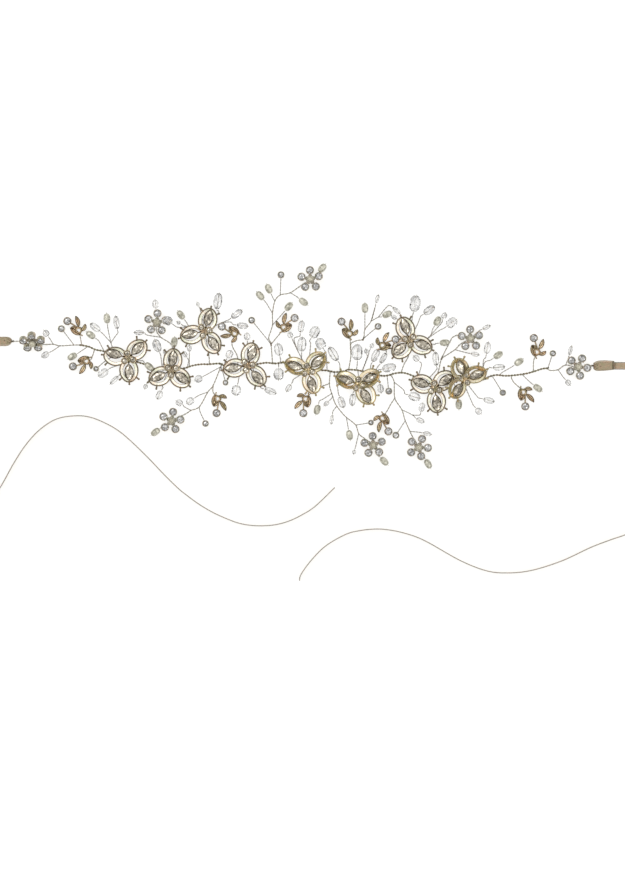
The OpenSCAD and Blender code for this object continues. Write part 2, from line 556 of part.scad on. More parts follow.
// Crystal bead along +Z: an eight-sided prism with its ends cut to cones, drilled through.
module crystal_bead(long, wide) {
  corner = wide / 2 / cos(180 / facets);
  belly = long * 0.16;
  end_r = max(bore_d / 2 + 0.3, wide * 0.2);
  difference() {
    intersection() {
      rotate([0, 0, 180 / facets]) cylinder(h = long, r = corner, center = true, $fn = facets);
      rotate_extrude()
        polygon([[0, -long / 2], [end_r, -long / 2], [corner * 1.04, -belly], [corner * 1.04, belly],
          [end_r, long / 2], [0, long / 2]]);
    }
    cylinder(h = long + 2, d = bore_d, center = true);
  }
}

module bead_place(x, y, z, direction) {
  translate([x, y, z]) rotate([0, 90, direction]) children();
}

function crystal_z(b) = b[4] / 2 + (len(b) > 6 ? b[6] : 0);

module crystal_beads(rows) {
  for (b = rows) bead_place(b[0], b[1], crystal_z(b), b[2]) crystal_bead(b[3], b[4]);
}

module vine_wire() {
  wire(STEM_LEFT, branch_d, stem_sides);
  wire(STEM_MIDDLE, stem_d, stem_sides);
  wire(STEM_RIGHT, branch_d, stem_sides);
  for (i = [0:len(BRANCHES) - 1]) wire(low_route(BRANCHES[i], i * lift_step), branch_d, branch_sides);
  for (i = [0:len(LEAF_WIRES) - 1]) wire(low_route(LEAF_WIRES[i], 0.03 - i * lift_step), branch_d, branch_sides);
  for (b = SINGLE_STONES) wire(low_route(concat(b[3], [[b[0], b[1]]]), 0.005), sprig_d, sprig_sides);
  for (i = [0:len(PEARLS) - 1])
    let (b = PEARLS[i])
    sprig([b[0], b[1], pearl_width / 2 + b[3]], b[2], pearl_length, b[4], (i % 8) * lift_step);
  for (i = [0:len(CRYSTALS) - 1])
    let (b = CRYSTALS[i])
    sprig([b[0], b[1], crystal_z(b)], b[2], b[3], b[5], (i % 9 - 8.5) * lift_step);
  for (w = WRAPS) translate([w[0], w[1], stem_d / 2]) rotate([0, 90, w[2]]) hull() {
    cylinder(h = 3, d = stem_d * 0.8, center = true, $fn = stem_sides);
    cylinder(h = 1.4, d = stem_d * 0.98, center = true, $fn = stem_sides);
  }
}

// Ribbon end folded to a blunt point and sewn round the end of the wire, with its tip at -X.
module ribbon_fold() {
  difference() {
    linear_extrude(fold_t)
      polygon([[0, -1.6], [3.2, -fold_w / 2], [fold_length, -fold_w / 2 + 0.6], [fold_length, fold_w / 2 - 0.6],
        [3.2, fold_w / 2], [0, 1.6]]);
    translate([-1, 0, fold_t / 2]) rotate([0, 90, 0]) cylinder(h = 7, d = branch_d + 0.4);
  }
}

// Flat ribbon along rows of x, y and turn. It stands on the floor whatever its turn.
module ribbon(rows) {
  corner = ribbon_t / 4;
  section = [
    [ribbon_w / 2, corner], [ribbon_w / 2 - corner, ribbon_t / 2], [corner - ribbon_w / 2, ribbon_t / 2],
    [-ribbon_w / 2, corner], [-ribbon_w / 2, -corner], [corner - ribbon_w / 2, -ribbon_t / 2],
    [ribbon_w / 2 - corner, -ribbon_t / 2], [ribbon_w / 2, -corner],
  ];
  flat = [for (r = rows) [r[0], r[1], 0]];
  points = [
    for (i = [0:len(rows) - 1])
      let (
        ahead = heading(flat, i),
        side = cross(ahead, [0, 0, 1]),
        turn = rows[i][2],
        z = max([for (q = section) abs(q[0] * sin(turn)) + abs(q[1] * cos(turn))])
      )
      for (q = section)
        [rows[i][0], rows[i][1], z]
        + (q[0] * cos(turn) - q[1] * sin(turn)) * side
        + [0, 0, q[0] * sin(turn) + q[1] * cos(turn)]
  ];
  polyhedron(points, skin_faces(len(rows), len(section)), convexity = 6);
}

for (i = [1:len(FLOWERS)]) {
  color(i > 4 && i != 7 && i != 8 ? bright_gold : gold) flower_setting(FLOWERS[i - 1]);
  color(rhinestone) flower_stones(FLOWERS[i - 1]);
}
for (i = [1:len(SMALL_FLOWERS)]) {
  color(gold) small_flower_place(SMALL_FLOWERS[i - 1]) small_flower_setting();
  color(rhinestone) small_flower_place(SMALL_FLOWERS[i - 1]) small_flower_stones();
}
for (i = [1:len(LEAF_CLUSTERS)])
  color(gold) leaf_place(LEAF_CLUSTERS[i - 1]) leaf_cluster();
color(ivory) for (f = SMALL_FLOWERS) small_flower_place(f) translate([0, 0, 1 + middle_pearl / 2])  // small_flower_pearls
    sphere(d = middle_pearl);
color(rhinestone) for (c = LEAF_CLUSTERS) leaf_place(c) translate([leaf_reach, 0, girdle_z])  // leaf_stones
    cut_stone(round_points(round_stone));
color(gold) for (s = SINGLE_STONES) translate([s[0], s[1], wire_low + sprig_d / 2 + 0.1]) stone_cup(s[2]);  // single_cups
color(rhinestone) for (s = SINGLE_STONES) translate([s[0], s[1], wire_low + sprig_d / 2 + 0.1 + girdle_z])  // single_stones
    cut_stone(round_points(s[2]));
color(ivory) for (b = PEARLS) bead_place(b[0], b[1], pearl_width / 2 + b[3], b[2]) rice_pearl();  // rice_pearls
color(crystal) crystal_beads(CRYSTALS_LEFT);  // crystal_beads_left
color(crystal) crystal_beads(CRYSTALS_RIGHT);  // crystal_beads_right
color(gold) vine_wire();
color(tan_ribbon) translate([-189, 16.5, 0]) rotate([0, 0, 180]) ribbon_fold();  // ribbon_fold_left
color(tan_ribbon) translate([189, 0.5, 0]) ribbon_fold();  // ribbon_fold_right
color(tan_ribbon) ribbon(RIBBON_LEFT);  // ribbon_left
color(tan_ribbon) ribbon(RIBBON_RIGHT);  // ribbon_right
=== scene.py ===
"""Looks of a bridal hair vine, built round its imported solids.

Tables are in millimetres and the scene in metres.
"""

import random
from math import acos, atan2, copysign, cos, exp, hypot, pi, radians, sin, sqrt

import bpy
import numpy as np
from mathutils import Matrix, Vector


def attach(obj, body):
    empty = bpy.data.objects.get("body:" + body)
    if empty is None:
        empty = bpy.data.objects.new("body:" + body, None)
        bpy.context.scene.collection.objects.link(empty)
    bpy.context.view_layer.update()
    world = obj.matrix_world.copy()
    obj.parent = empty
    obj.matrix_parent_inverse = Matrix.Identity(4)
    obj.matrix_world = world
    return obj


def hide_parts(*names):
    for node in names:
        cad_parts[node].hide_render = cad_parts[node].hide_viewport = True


MM = 0.001
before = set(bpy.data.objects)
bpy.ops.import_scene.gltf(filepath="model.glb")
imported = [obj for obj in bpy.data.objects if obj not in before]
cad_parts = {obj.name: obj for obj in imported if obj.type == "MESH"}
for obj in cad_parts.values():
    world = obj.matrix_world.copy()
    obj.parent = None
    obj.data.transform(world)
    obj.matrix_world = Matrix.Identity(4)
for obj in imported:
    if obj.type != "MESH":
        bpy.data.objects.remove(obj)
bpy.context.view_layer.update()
draw = random.Random(11)

# Large flowers, lying on the stem. Columns: x, y, then for each petal [direction of its stone, how far it is
# slid outward, rise of its tip in degrees, roll about its own length, turn of its frame from its stone],
# and how far the flower is raised off the stem.
FLOWERS = [
  [-113, 5.5, [[164, 0.5, 0, 0, 9], [46, -0.4, 4, 0, -2], [-87, 0, 0, 0, -1]], 0],
  [-85, -2.5, [[83, -1.3, 6, 0, 0], [204, 0.4, 0, 0, 3], [-36, -0.8, 4, 0, -5]], 0],
  [-63.5, 23, [[74, -0.5, 0, 0, 1], [192, 0.6, 0, 0, 4], [-55, 0.6, 0, 0, -5]], 0],
  [-35.5, 0.5, [[72, -0.4, 4, 0, 5], [188, 0.5, 0, 0, 2], [-51, 0.5, 0, 0, 1]], 0],
  [3.5, -2.5, [[167, 0.5, 14, 24, -5], [41, -0.4, 12, -8, 4], [-75, 0, 0, 0, 3]], 0.9],
  [36.5, -11.5, [[168, 0.3, 15, 26, -6], [23, 0, 18, -24, 6], [-60, -0.3, 5, 0, 6]], 0.9],
  [69.5, 17, [[108, 0.2, 0, 0, 2], [-19, -0.1, 0, 0, -4], [222, -0.8, 0, 0, 4]], 0],
  [86, -14, [[160, 0.5, 0, 0, 2], [37, -0.8, 0, 0, 4], [-84, 0.5, 0, 0, 0]], 0],
  [105, -8, [[112, -0.4, 20, 12, 4], [24, 0, 18, 24, 0], [234, 0.4, 20, -24, -4]], 0.85],
]
# Small flowers. Columns: x, y, height of its back, direction of its first stone, lean in degrees.
SMALL_FLOWERS = [
  [-175, 16.7, 6.4, 19, 48],
  [-94.5, 28.5, 2.9, 86, 0],
  [-85, -35.3, 2.9, 80, 0],
  [5, 56.5, 2.9, 92, 0],
  [45.9, -51, 2.9, 94, 0],
  [75.4, -52.5, 2.9, 69, 0],
  [108.9, 18.1, 2.9, 92, 0],
  [178.8, -0.2, 2.9, 65, 0],
]
# Leaf clusters. Columns: x, y, direction in which its stone stands, 1 or -1 for the mirrored casting,
# height of its back where it isn't LEAF_Z.
LEAF_CLUSTERS = [
  [-145.5, 25, 148, 1],
  [-140.9, 2.2, 195, -1],
  [-45.5, 21, 144, -1],
  [-54.2, -22, 259, -1],
  [-12.2, 26.9, 33, -1],
  [0.8, -21.9, 268, 1],
  [30.8, 22.8, 131, 1],
  [52.3, 15, 17, -1, 4.2],
  [51.4, -34.9, -59, 1],
  [153, 10.6, 110, 1],
  [144.6, -17.5, 270, -1],
]
# Round stones that stand alone at the end of a wire. Columns: x, y, across, bends of the wire.
SINGLE_STONES = [
  [-156.5, 24.5, 3.6, [[-148.5, 14]]],
  [-134, -1.5, 2.8, [[-122, 7.5], [-129, 3]]],
  [-33, 30, 3.6, [[-20.5, 14.5], [-24, 19]]],
  [-50, -10.5, 2.8, [[-53, 0], [-52, -3]]],
  [-14, 59.5, 3.6, [[-14.5, 46.5]]],
  [49, 26, 3.6, [[39.5, 18], [44, 22]]],
  [56, -16, 3.6, [[55, -6]]],
  [44.4, -36.4, 2.8, [[34.5, -38]]],
  [60.6, -44.6, 3.6, [[66.5, -35.5]]],
  [-63, -37, 3.4, [[-67, -26], [-66.5, -29.5]]],
  [130, -17, 3.2, [[123.5, -6.5]]],
  [162.5, 8.5, 3.2, [[159.5, -1]]],
]
# Rice pearls. Columns: x, y, direction of the wire through it, bends of the wire, and height above the floor
# where there is one.
PEARLS = [
  [-137.5, 20.5, 144, [[-129, 10], [-132, 16]]],
  [-127, 31.2, 94, [[-122, 8], [-124.5, 15.5]]],
  [-149.5, 6.5, 209, [[-139.5, 13], [-144, 10]]],
  [-99.5, 0, -40, [[-109.5, 3.5]], 1.6],
  [-83.3, 15.9, 85, [[-84, -2]]],
  [-79, 33.5, 127, [[-63.2, 22.8], [-73, 26]]],
  [-9, 39, 49, [[-19.5, 27], [-16, 31]]],
  [-22, 50.5, 115, [[-18, 42.5]]],
  [-27.5, 46, 130, [[-19.5, 34.5], [-23, 40.5]]],
  [12.8, 63.9, 50, [[4.7, 56.2, 2.05]]],
  [0.6, 42, -38, [[-8, 48]]],
  [9.5, -28, 255, [[19, -17.5], [13.5, -21]]],
  [40.5, 38, 90, [[40.5, 24]]],
  [54.9, 33.9, 25, [[44.5, 29.5], [49, 32]]],
  [87.5, 29.5, 60, [[69.3, 17.2], [81.5, 18.5]]],
  [92.3, 15.5, 5, [[69.7, 16.8], [85, 14.5]]],
  [127, 7.5, 34, [[117, -8.5], [118, 2]]],
  [101.5, -24.6, 270, [[98, -10]]],
  [140.5, 3, 35, [[128, -6], [129.5, -4]]],
  [152.8, -14, -38, [[142.5, -5]]],
  [-95.5, -42.5, 217, [[-85.2, -34.8, 2.05]]],
  [30.5, -44.5, 280, [[28.5, -33]]],
  [53, -61.5, -45, [[45.6, -50.3, 2.05]]],
  [81.5, -63.2, -60, [[75.3, -51.6, 2.05]]],
]
# Faceted crystal beads of the left half, then of the right half.
# Columns: x, y, direction of the wire through it, length, width, bends of the wire, and height above the
# floor where there is one.
CRYSTALS_LEFT = [
  [-166.5, 21.5, 124, 4.5, 4.5, [[-162, 14.5]]],
  [-167, 7.5, 211, 5.2, 4.4, [[-157.5, 13.5]]],
  [-134.6, 25.4, 140, 7.6, 4.8, [[-124.5, 15.5]]],
  [-120.8, 28.6, 97, 8.2, 4.2, [[-124.5, 15.5], [-121.5, 20]]],
  [-129.4, -4.3, 215, 7.2, 5.5, [[-113, 5.5], [-120, 1]]],
  [-122.3, -8.8, 225, 7, 3.4, [[-113, 5.5], [-118, -3]]],
  [-106.2, 22.1, 178, 6, 3.6, [[-92, 19], [-101, 20.5]]],
  [-102, -13, 250, 3.2, 3.2, [[-93, -1.5], [-100, -9]]],
  [-93, -18.5, 245, 5.8, 4.6, [[-87, -2], [-91, -12]]],
  [-95.5, 40.5, 95, 5.4, 4.4, [[-94.5, 28.1, 2.05]]],
  [-87, 29.5, 143, 6, 6, [[-72.5, 26], [-80, 25.5]], 6.1],
  [-80.5, 28.5, 150, 2.6, 2.6, [[-72.5, 26]]],
  [-94.5, 13.5, 110, 8.2, 5.8, [[-91, -2]]],
  [-89.5, 9.5, 80, 2.6, 2.6, [[-91, -2], [-90, 5]]],
  [-76.4, 8, 120, 4, 3.2, [[-75, -1]]],
  [-73.5, 11.8, 90, 4, 3.2, [[-73.5, 0.5]]],
  [-67.5, -8, 207, 5.2, 5.2, [[-53, 0], [-62, -5]]],
  [-54.9, 42.4, 82, 10.2, 6, [[-63.8, 22.6], [-54.9, 34.6]]],
  [-68, 40.5, 110, 2.6, 2.6, [[-63.3, 22.4], [-66.5, 37]]],
  [-42.7, 34.2, 35, 8.2, 4.8, [[-63.9, 22.9], [-52.5, 28.5]]],
  [-39, 26.5, -8, 7, 4.6, [[-52.5, 28.5], [-47, 29]]],
  [-47.5, 8, 60, 5.2, 5.2, [[-51, 1]]],
  [-36, 19.5, 92, 4.6, 4.6, [[-35.5, 0.5]]],
  [-43, -15.5, 257, 6.6, 6.6, [[-39.5, 0.5], [-41.5, -8]]],
  [-20.8, -16, -20, 7.8, 4.8, [[-33, 1], [-29.5, -9]]],
  [-15.5, -5, 270, 7.6, 7.2, [[-15.5, 2.3]]],
  [-15.5, 11, 100, 7.8, 6.2, [[-14.5, 2.4]]],
  [-8, 20.5, 115, 4, 4, [[3.5, -2.5], [-3, 10]]],
  [-0.8, 26, 80, 7.4, 4.6, [[-3, 10], [-5.5, 18]]],
  [-0.4, 14.4, 88, 9, 6.4, [[-0.6, -0.6]]],
]
CRYSTALS_RIGHT = [
  [7.8, 22.2, 60, 7.8, 7, [[3.5, -2.5], [5.2, 14]]],
  [11.8, 14.6, 120, 7.6, 7, [[16, -2.7], [15.5, 7]]],
  [20, 8.2, 122, 10, 5.6, [[24.5, -3.3]]],
  [-9, -14, 238, 5.2, 4, [[3.5, -2.5], [-5.5, -8]]],
  [15.5, -24, 225, 4, 3.2, [[19.5, -19]]],
  [19, -34.5, 262, 5.8, 2.8, [[22, -26]]],
  [25.4, -23.2, -70, 7.4, 5, [[20.5, -3.5], [22.5, -12]]],
  [32.5, -21.6, 265, 7.6, 4.6, [[36, -2.5], [36.5, -11.5], [33.5, -16]]],
  [35.5, 9.2, 90, 10, 7.6, [[35, -2.5]]],
  [45, 13.5, 65, 3, 3, [[38.5, -3.5], [42.5, 6.5]]],
  [41.3, 10, 100, 3, 3, [[38.5, -3.5], [42, 6]]],
  [47.3, 7.2, 65, 8.6, 5, [[44, -4.3]]],
  [52.5, 5.5, 60, 7.4, 3.8, [[46, -4.8], [49, 0]]],
  [56.2, -0.8, 12, 8.8, 6, [[50, -5.8]]],
  [48.5, 44, 75, 5.2, 2.8, [[44.5, 29.5], [47, 38]]],
  [61, 36.4, -42, 6, 3, [[49, 32], [55.5, 39.4]]],
  [59.4, 32, 150, 3.8, 3, [[69.8, 16.5], [62.6, 29.4]]],
  [73, 40.8, 82, 10.4, 7.6, [[69.4, 16.4], [71.5, 33]]],
  [82.2, 36.6, 36, 8.2, 5.4, [[69.2, 16.7], [74.5, 27]]],
  [92, 33, 65, 4, 4, [[81.5, 18.5], [90, 28]]],
  [96.8, 28.4, 35, 7.6, 6.6, [[81.5, 18.5], [89, 23.5]]],
  [86.5, 5, 94, 8.6, 4.6, [[80, -10]]],
  [73.8, 5.3, 135, 4.6, 4.4, [[74.5, -8], [76.5, -2]]],
  [72.6, -19.6, -18, 7.6, 6, [[59.5, -10], [65.5, -15]]],
  [76.5, -35, -25, 5.2, 3.8, [[64.5, -28], [71.5, -31.5]]],
  [77.5, -26.5, 78, 5.8, 4.4, [[71.5, -31.5], [76, -31.5]]],
  [81, -43.6, -10, 5.2, 3.2, [[69.5, -42]]],
  [119.5, 25.5, 25, 5.2, 3.2, [[108.9, 18.1]]],
  [112, 8, -10, 5.2, 3.2, [[99, 11]]],
  [120, 12, 80, 7.4, 4.6, [[117, -8.5], [117.5, 3.5]]],
  [127.5, -0.5, 5, 7.4, 4.6, [[118, -7.5], [121, -1]]],
  [121, -22, -15, 7, 4.4, [[105, -8.5], [113.5, -19.5]]],
  [114.3, -29, -50, 4.6, 4.6, [[104, -9], [110, -23]]],
  [174, 10.5, 75, 5.8, 2.8, [[171, 1]]],
  [172.5, -10.5, -50, 4, 4, [[166, -2]]],
  [-73, -22.5, 215, 5.2, 5.2, [[-61.5, -16.5], [-67, -18.5]]],
  [-80, -23.5, 150, 4.6, 4.6, [[-72.5, -28.5], [-77, -26]]],
  [33.5, -55.5, 255, 2.8, 2.8, [[36.5, -43.5]]],
  [50.6, -14.2, -82, 5.6, 4.4, [[48.8, -5.6]]],
]
# The stem, from the left ribbon fold to the right one. Rows: x, y of the bends of the wire, and z where it
# isn't WIRE_LOW at the ends or STEM_LOW in the middle.
STEM_LEFT = [
  [-194, 16.5, 1.2], [-189, 16.5, 1.2], [-183, 16.5, 2.6], [-175.5, 17.8, 5.4], [-169, 14.5, 1.4],
  [-162, 14.5], [-157.5, 13.5], [-148.5, 14], [-143.5, 14, 0.7],
]
STEM_MIDDLE = [
  [-144.5, 14], [-139, 13], [-134.5, 11], [-129, 10], [-122, 8], [-113, 5.5], [-109.5, 3.5], [-102.5, 1.5],
  [-98, -1], [-91, -2], [-84, -2], [-76.5, -1], [-72, 0.5], [-66, 1.5], [-61, 1.5], [-53.5, 2], [-50.5, 0.5],
  [-42, 0.5], [-35, 0.5], [-30, 1.5], [-23.5, 2.5], [-18, 2], [-12.5, 2.5], [-5, 1], [3.5, -2], [15, -2.5],
  [20.5, -3.5], [27, -3], [30, -2], [36.5, -2.5], [43, -4], [51.5, -6], [56.5, -5.5], [59.5, -4.5], [65, -4],
  [70.5, -5.5], [78, -9], [86, -12], [96, -10.5], [105, -8.5], [117, -8.5], [121.5, -6.5], [126, -5.5],
  [132, -6], [139, -5.5], [145.5, -4.5], [151, -3], [155.5, -1.5], [159.5, -1],
]
STEM_RIGHT = [
  [158.5, -1, 0.6], [161, -2.5], [166, -2], [171, 1], [178.5, -0.5, 2.1], [188, 0.5, 1.2], [194, 0.5, 1.2],
]
# Side branches that carry a small flower or several sprigs, and wires that end under a leaf cluster, in the
# order of the clusters. Rows: x, y of the bends of the wire, and z where it isn't WIRE_LOW.
BRANCHES = [
  [[-52.5, 1.5], [-58, -12], [-61.5, -16.5], [-67, -26], [-72.5, -28.5], [-76.5, -31], [-85.5, -35, 2.1]],
  [[-19.5, 2], [-20.5, 14.5], [-22, 18.5], [-20.5, 23.5], [-19.5, 27.5], [-19.5, 34.5], [-18, 42.5],
   [-14.5, 46.5], [-8, 48], [-0.5, 53], [5, 56.5, 2.1]],
  [[18, -3], [17.5, -12], [19.5, -19], [21.5, -24.5], [26, -30.5], [28.5, -33], [34.5, -38], [36.5, -43.5],
   [40, -46.5], [46, -50.5, 2.1]],
  [[57.5, -5.5], [59.5, -10], [60, -20.5], [64.5, -28], [66.5, -34.5], [69.5, -41.5], [71.5, -45.5],
   [75.5, -52, 2.1]],
  [[31.5, 8], [31.3, 14.5], [35, 16.8], [39.5, 18], [40.5, 24], [44.5, 29.5], [47, 38]],
  [[86, -12], [88.5, -2], [90.5, 5.5], [96, 16.5], [97.5, 19], [102, 20.5], [108.9, 18.1, 2.1]],
  [[90.5, 5.5], [99, 11], [102.5, 14.5], [108.9, 18.1]],
  [[-84, -2], [-84, 8], [-85.5, 14.5], [-92, 19], [-95, 23.5], [-94.5, 28.5, 2.1]],
  [[-60.5, 1.5], [-61, 8], [-63.5, 23]],
  [[64, -4], [66, 1.5], [69, 7.5], [69.5, 17]],

  [[-143.5, 14], [-144.5, 19.5], [-145, 21.6]],
  [[-135, 11.5], [-137, 5.5], [-138.5, 3.8]],
  [[-42, 0.5], [-42.5, 7], [-45.5, 13], [-46, 17.5]],
  [[-58, -12], [-58.2, -16.5], [-55.8, -19.2]],
  [[-20.5, 14.5], [-15.5, 20.5], [-12.6, 23.7]],
  [[17.5, -11], [10, -14], [5.5, -17.2], [3.2, -19.5]],
  [[30, -2], [31.5, 8], [31, 16], [30.8, 19.4]],
  [[54.6, 9.2, 1.9], [53.8, 11.3, 2.9], [52.8, 13.2, 3.5]],
  [[60, -20.5], [57.3, -24.5], [55.3, -28.2], [53, -31.6]],
  [[150, -3.5], [150.2, 3.6], [151.6, 7.3]],
  [[135.5, -5.5], [136, -8], [138, -11], [142.6, -14.9]],
]
# Wraps where a branch leaves another wire. Columns: x, y, direction of the wrapped wire.
WRAPS = [
  [-84, -2, 0], [-61, 1.5, 0], [-53, 1.5, 165], [-19.5, 2.2, 0], [-20.5, 14.5, 100], [18, -3, 0],
  [57.5, -5.2, 15], [86, -12, -10], [90.5, 5.5, 68], [64, -4, 0], [39.5, 18, 70], [30, -2, 0],
  [-144, 14, 0], [159, -1, 10],
]
# Left ribbon, then right ribbon. Rows: x, y, and the turn of the ribbon in degrees from flat where it
# doesn't stand on edge.
RIBBON_LEFT = [
  [-202.7, 16.5, 0], [-208, 16.5, 0], [-214, 15, 0], [-226, 12, 10], [-238, 6, 40], [-250, -3, 75],
  [-260, -15], [-267, -30], [-270, -46], [-269, -62], [-263, -78], [-253, -91], [-240, -99], [-226, -101],
  [-213, -96], [-203, -87], [-196, -78], [-187, -62], [-179, -50], [-170, -40.5], [-159.5, -34],
  [-147.5, -32], [-137.5, -33], [-126.5, -37.5], [-118, -42.8], [-109.5, -50.2], [-99.5, -60], [-90, -70],
  [-80.5, -79.3], [-75, -83.7], [-67.5, -89.2], [-59, -94.3], [-50.5, -98.3], [-42, -101.5], [-34.5, -103],
  [-26, -103.4], [-17, -102.6], [-8, -100], [0.5, -95.8], [8.5, -90.5], [21, -78.5],
]
RIBBON_RIGHT = [
  [202.7, 0.5, 0], [208, 0.5, 0], [214, 0, 0], [226, -3, 10], [238, -9, 40], [249, -18, 75], [257, -30],
  [261, -44], [260, -58], [255, -72], [245, -85], [233, -95], [219, -104], [210, -109], [200, -112.5],
  [187, -117.5], [168, -126.3], [148, -132.5], [132, -134], [119, -132.5], [102.5, -126], [83, -115],
  [73.5, -110.5], [63.5, -107.5], [55.5, -106], [47.5, -105.5], [37.5, -106.5], [28, -109], [15, -116.5],
  [5.5, -126], [-1, -135], [-2, -139],
]

PEARL_LENGTH = 6.5
PEARL_WIDTH = 4.5
LEAF_REACH = 8.4
RING_RADIUS = 5.9
ROUND_STONE = 4.4
HEART_STONE = 3.7
HEART_RADIUS = 3.1
MARQUISE = (10.4, 5.2)
MARQUISE_X = 9.3
MIDDLE_PEARL = 4.4
GIRDLE_Z = 2.3
CUP_H = 2.6
CUP_WALL = 0.35
STONE_GAP = 0.12
FLOWER_Z = 1.9
CLAW_BASE = 1.9
WIRE_LOW = 0.5
STEM_LOW = 0.7
SPRIG_D = 0.8
LEAF_Z = 1.25
LEAF_THICK = 1.2
BORE_R = 0.4
RANDOM_PHASE = 6.28
YELLOW_FLOWERS = (5, 6, 9)


def turn(degrees, axis="Z"):
    return Matrix.Rotation(radians(degrees), 4, axis)


def shift(x, y, z=0.0):
    return Matrix.Translation((x, y, z))


class Shape:
    """Vertices and faces in millimetres, gathered from many small parts, with a tint for each face."""

    def __init__(self):
        self.verts = []
        self.faces = []
        self.tints = []
        self.smooth = []

    def add(self, part, matrix=None, tint=0.5, smooth=True):
        verts, faces = part
        verts = np.asarray(verts, float)
        flip = False
        if matrix is not None:
            m = np.array(matrix)
            verts = verts @ m[:3, :3].T + m[:3, 3]
            flip = np.linalg.det(m[:3, :3]) < 0
        start = sum(len(v) for v in self.verts)
        self.verts.append(verts)
        for f in faces:
            ids = [start + i for i in f]
            self.faces.append(ids[::-1] if flip else ids)
        if not hasattr(tint, "__len__"):
            tint = [tint] * len(faces)
        self.tints.extend(tint)
        self.smooth.extend([smooth] * len(faces))

    def add_tinted(self, part, matrix, smooth=True):
        verts, faces, tints = part
        self.add((verts, faces), matrix, tints, smooth)

    def build(self, name, material, slot, replaces=(), shadow=True):
        mesh = bpy.data.meshes.new(name)
        mesh.from_pydata((np.concatenate(self.verts) * MM).tolist(), [], self.faces)
        mesh.polygons.foreach_set("use_smooth", self.smooth)
        mesh.attributes.new("tint", "FLOAT", "FACE").data.foreach_set("value", self.tints)
        mesh.update()
        obj = bpy.data.objects.new(name, mesh)
        bpy.context.scene.collection.objects.link(obj)
        mesh.materials.append(material)
        obj.visible_shadow = shadow
        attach(obj, "root")
        if replaces:
            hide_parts(*replaces)
        return obj


# Curves and tubes

def running_length(points):
    return np.concatenate([[0], np.cumsum(np.linalg.norm(np.diff(points, axis=0), axis=1))])


def filled(rows, columns, value):
    """Rows of as many columns, with the value in the last one where a row ends before it."""
    return [(*row, value)[:columns] for row in rows]


def smooth_route(rows, step):
    """Points a step apart on a smooth curve through the rows."""
    p = np.asarray(rows, float)
    if len(p) == 2:
        dense = p
    else:
        p = np.vstack([2 * p[0] - p[1], p, 2 * p[-1] - p[-2]])
        dense = []
        for i in range(1, len(p) - 2):
            a, b, c, d = p[i - 1], p[i], p[i + 1], p[i + 2]
            for t in np.linspace(0, 1, 16, endpoint=False):
                dense.append(0.5 * (
                    2 * b + (c - a) * t + (2 * a - 5 * b + 4 * c - d) * t * t
                    + (3 * b - a - 3 * c + d) * t ** 3
                ))
        dense.append(p[-2])
        dense = np.array(dense)
        # A curve that swings past its rows doesn't dip below the lowest of them
        dense[:, 2] = np.maximum(dense[:, 2], p[1:-1, 2].min())
    run = running_length(dense)
    marks = np.linspace(0, run[-1], max(2, int(round(run[-1] / step)) + 1))
    return np.stack([np.interp(marks, run, dense[:, k]) for k in range(dense.shape[1])], axis=1)


def circle(count):
    """Angles of as many points, evenly spaced round a circle."""
    return np.linspace(0, 2 * pi, count, endpoint=False)


def directions(points):
    ahead = np.gradient(points, axis=0)
    return ahead / np.linalg.norm(ahead, axis=1)[:, None]


def side_vectors(points):
    """Two sideways directions at each point, carried along without twisting."""
    ahead = directions(points)
    first = np.cross(ahead[0], (0, 0, 1))
    if np.linalg.norm(first) < 0.01:
        first = np.array((1.0, 0, 0))
    side = [first / np.linalg.norm(first)]
    for t in ahead[1:]:
        s = side[-1] - t * (side[-1] @ t)
        side.append(s / np.linalg.norm(s))
    side = np.array(side)
    return side, np.cross(ahead, side)


def rings_skin(count, sides, closed=False):
    faces = []
    for i in range(count if closed else count - 1):
        a, b = i * sides, (i + 1) % count * sides
        faces += [(a + k, a + (k + 1) % sides, b + (k + 1) % sides, b + k) for k in range(sides)]
    if not closed:
        faces += [tuple(range(sides))[::-1], tuple((count - 1) * sides + k for k in range(sides))]
    return faces


def tube(points, radius, sides=6):
    points = np.asarray(points, float)
    side, up = side_vectors(points)
    radius = np.broadcast_to(np.asarray(radius, float), (len(points),))
    angles = circle(sides)
    verts = [
        p + r * (cos(a) * s + sin(a) * u)
        for p, r, s, u in zip(points, radius, side, up) for a in angles
    ]
    return np.array(verts), rings_skin(len(points), sides)


def strands(shape, rows, strand_d, pitch, spread, sides=5, tint=0.5):
    """A wire of two strands twisted round each other along the rows, touching where spread is 1."""
    steps = 10
    points = smooth_route(rows, pitch / steps)
    side, up = side_vectors(points)
    off = strand_d / 2 * 0.96 * spread
    phase = draw.random() * RANDOM_PHASE
    turns = np.arange(len(points)) * 2 * pi / steps + phase
    for k in range(2):
        a = turns + pi * k
        line = points + off * (np.cos(a)[:, None] * side + np.sin(a)[:, None] * up)
        shape.add(tube(line, strand_d / 2, sides), tint=tint)


def helix(radius, long, turns, wire_d, sides=5):
    """A close coil of wire along +X."""
    n = int(turns * 10)
    t = np.linspace(0, 1, n + 1)
    a = t * turns * 2 * pi
    line = np.stack([(t - 0.5) * long, radius * np.cos(a), radius * np.sin(a)], axis=1)
    return tube(line, wire_d / 2, sides)


def revolve(profile, sides, closed=False):
    """Shape turned from rows of radius, z: capped at both ends, or joined up with itself where closed."""
    angles = circle(sides)
    verts = [(r * cos(a), r * sin(a), z) for r, z in profile for a in angles]
    return np.array(verts), rings_skin(len(profile), sides, closed)


def tinted_ring(rows, sides, paler=0.0):
    """Ring shape of rows: radius, z, and the tint of the band that starts there."""
    verts, faces = revolve([(r, z) for r, z, tint in rows], sides, closed=True)
    return verts, faces, [tint + paler for r, z, tint in rows for _ in range(sides)]


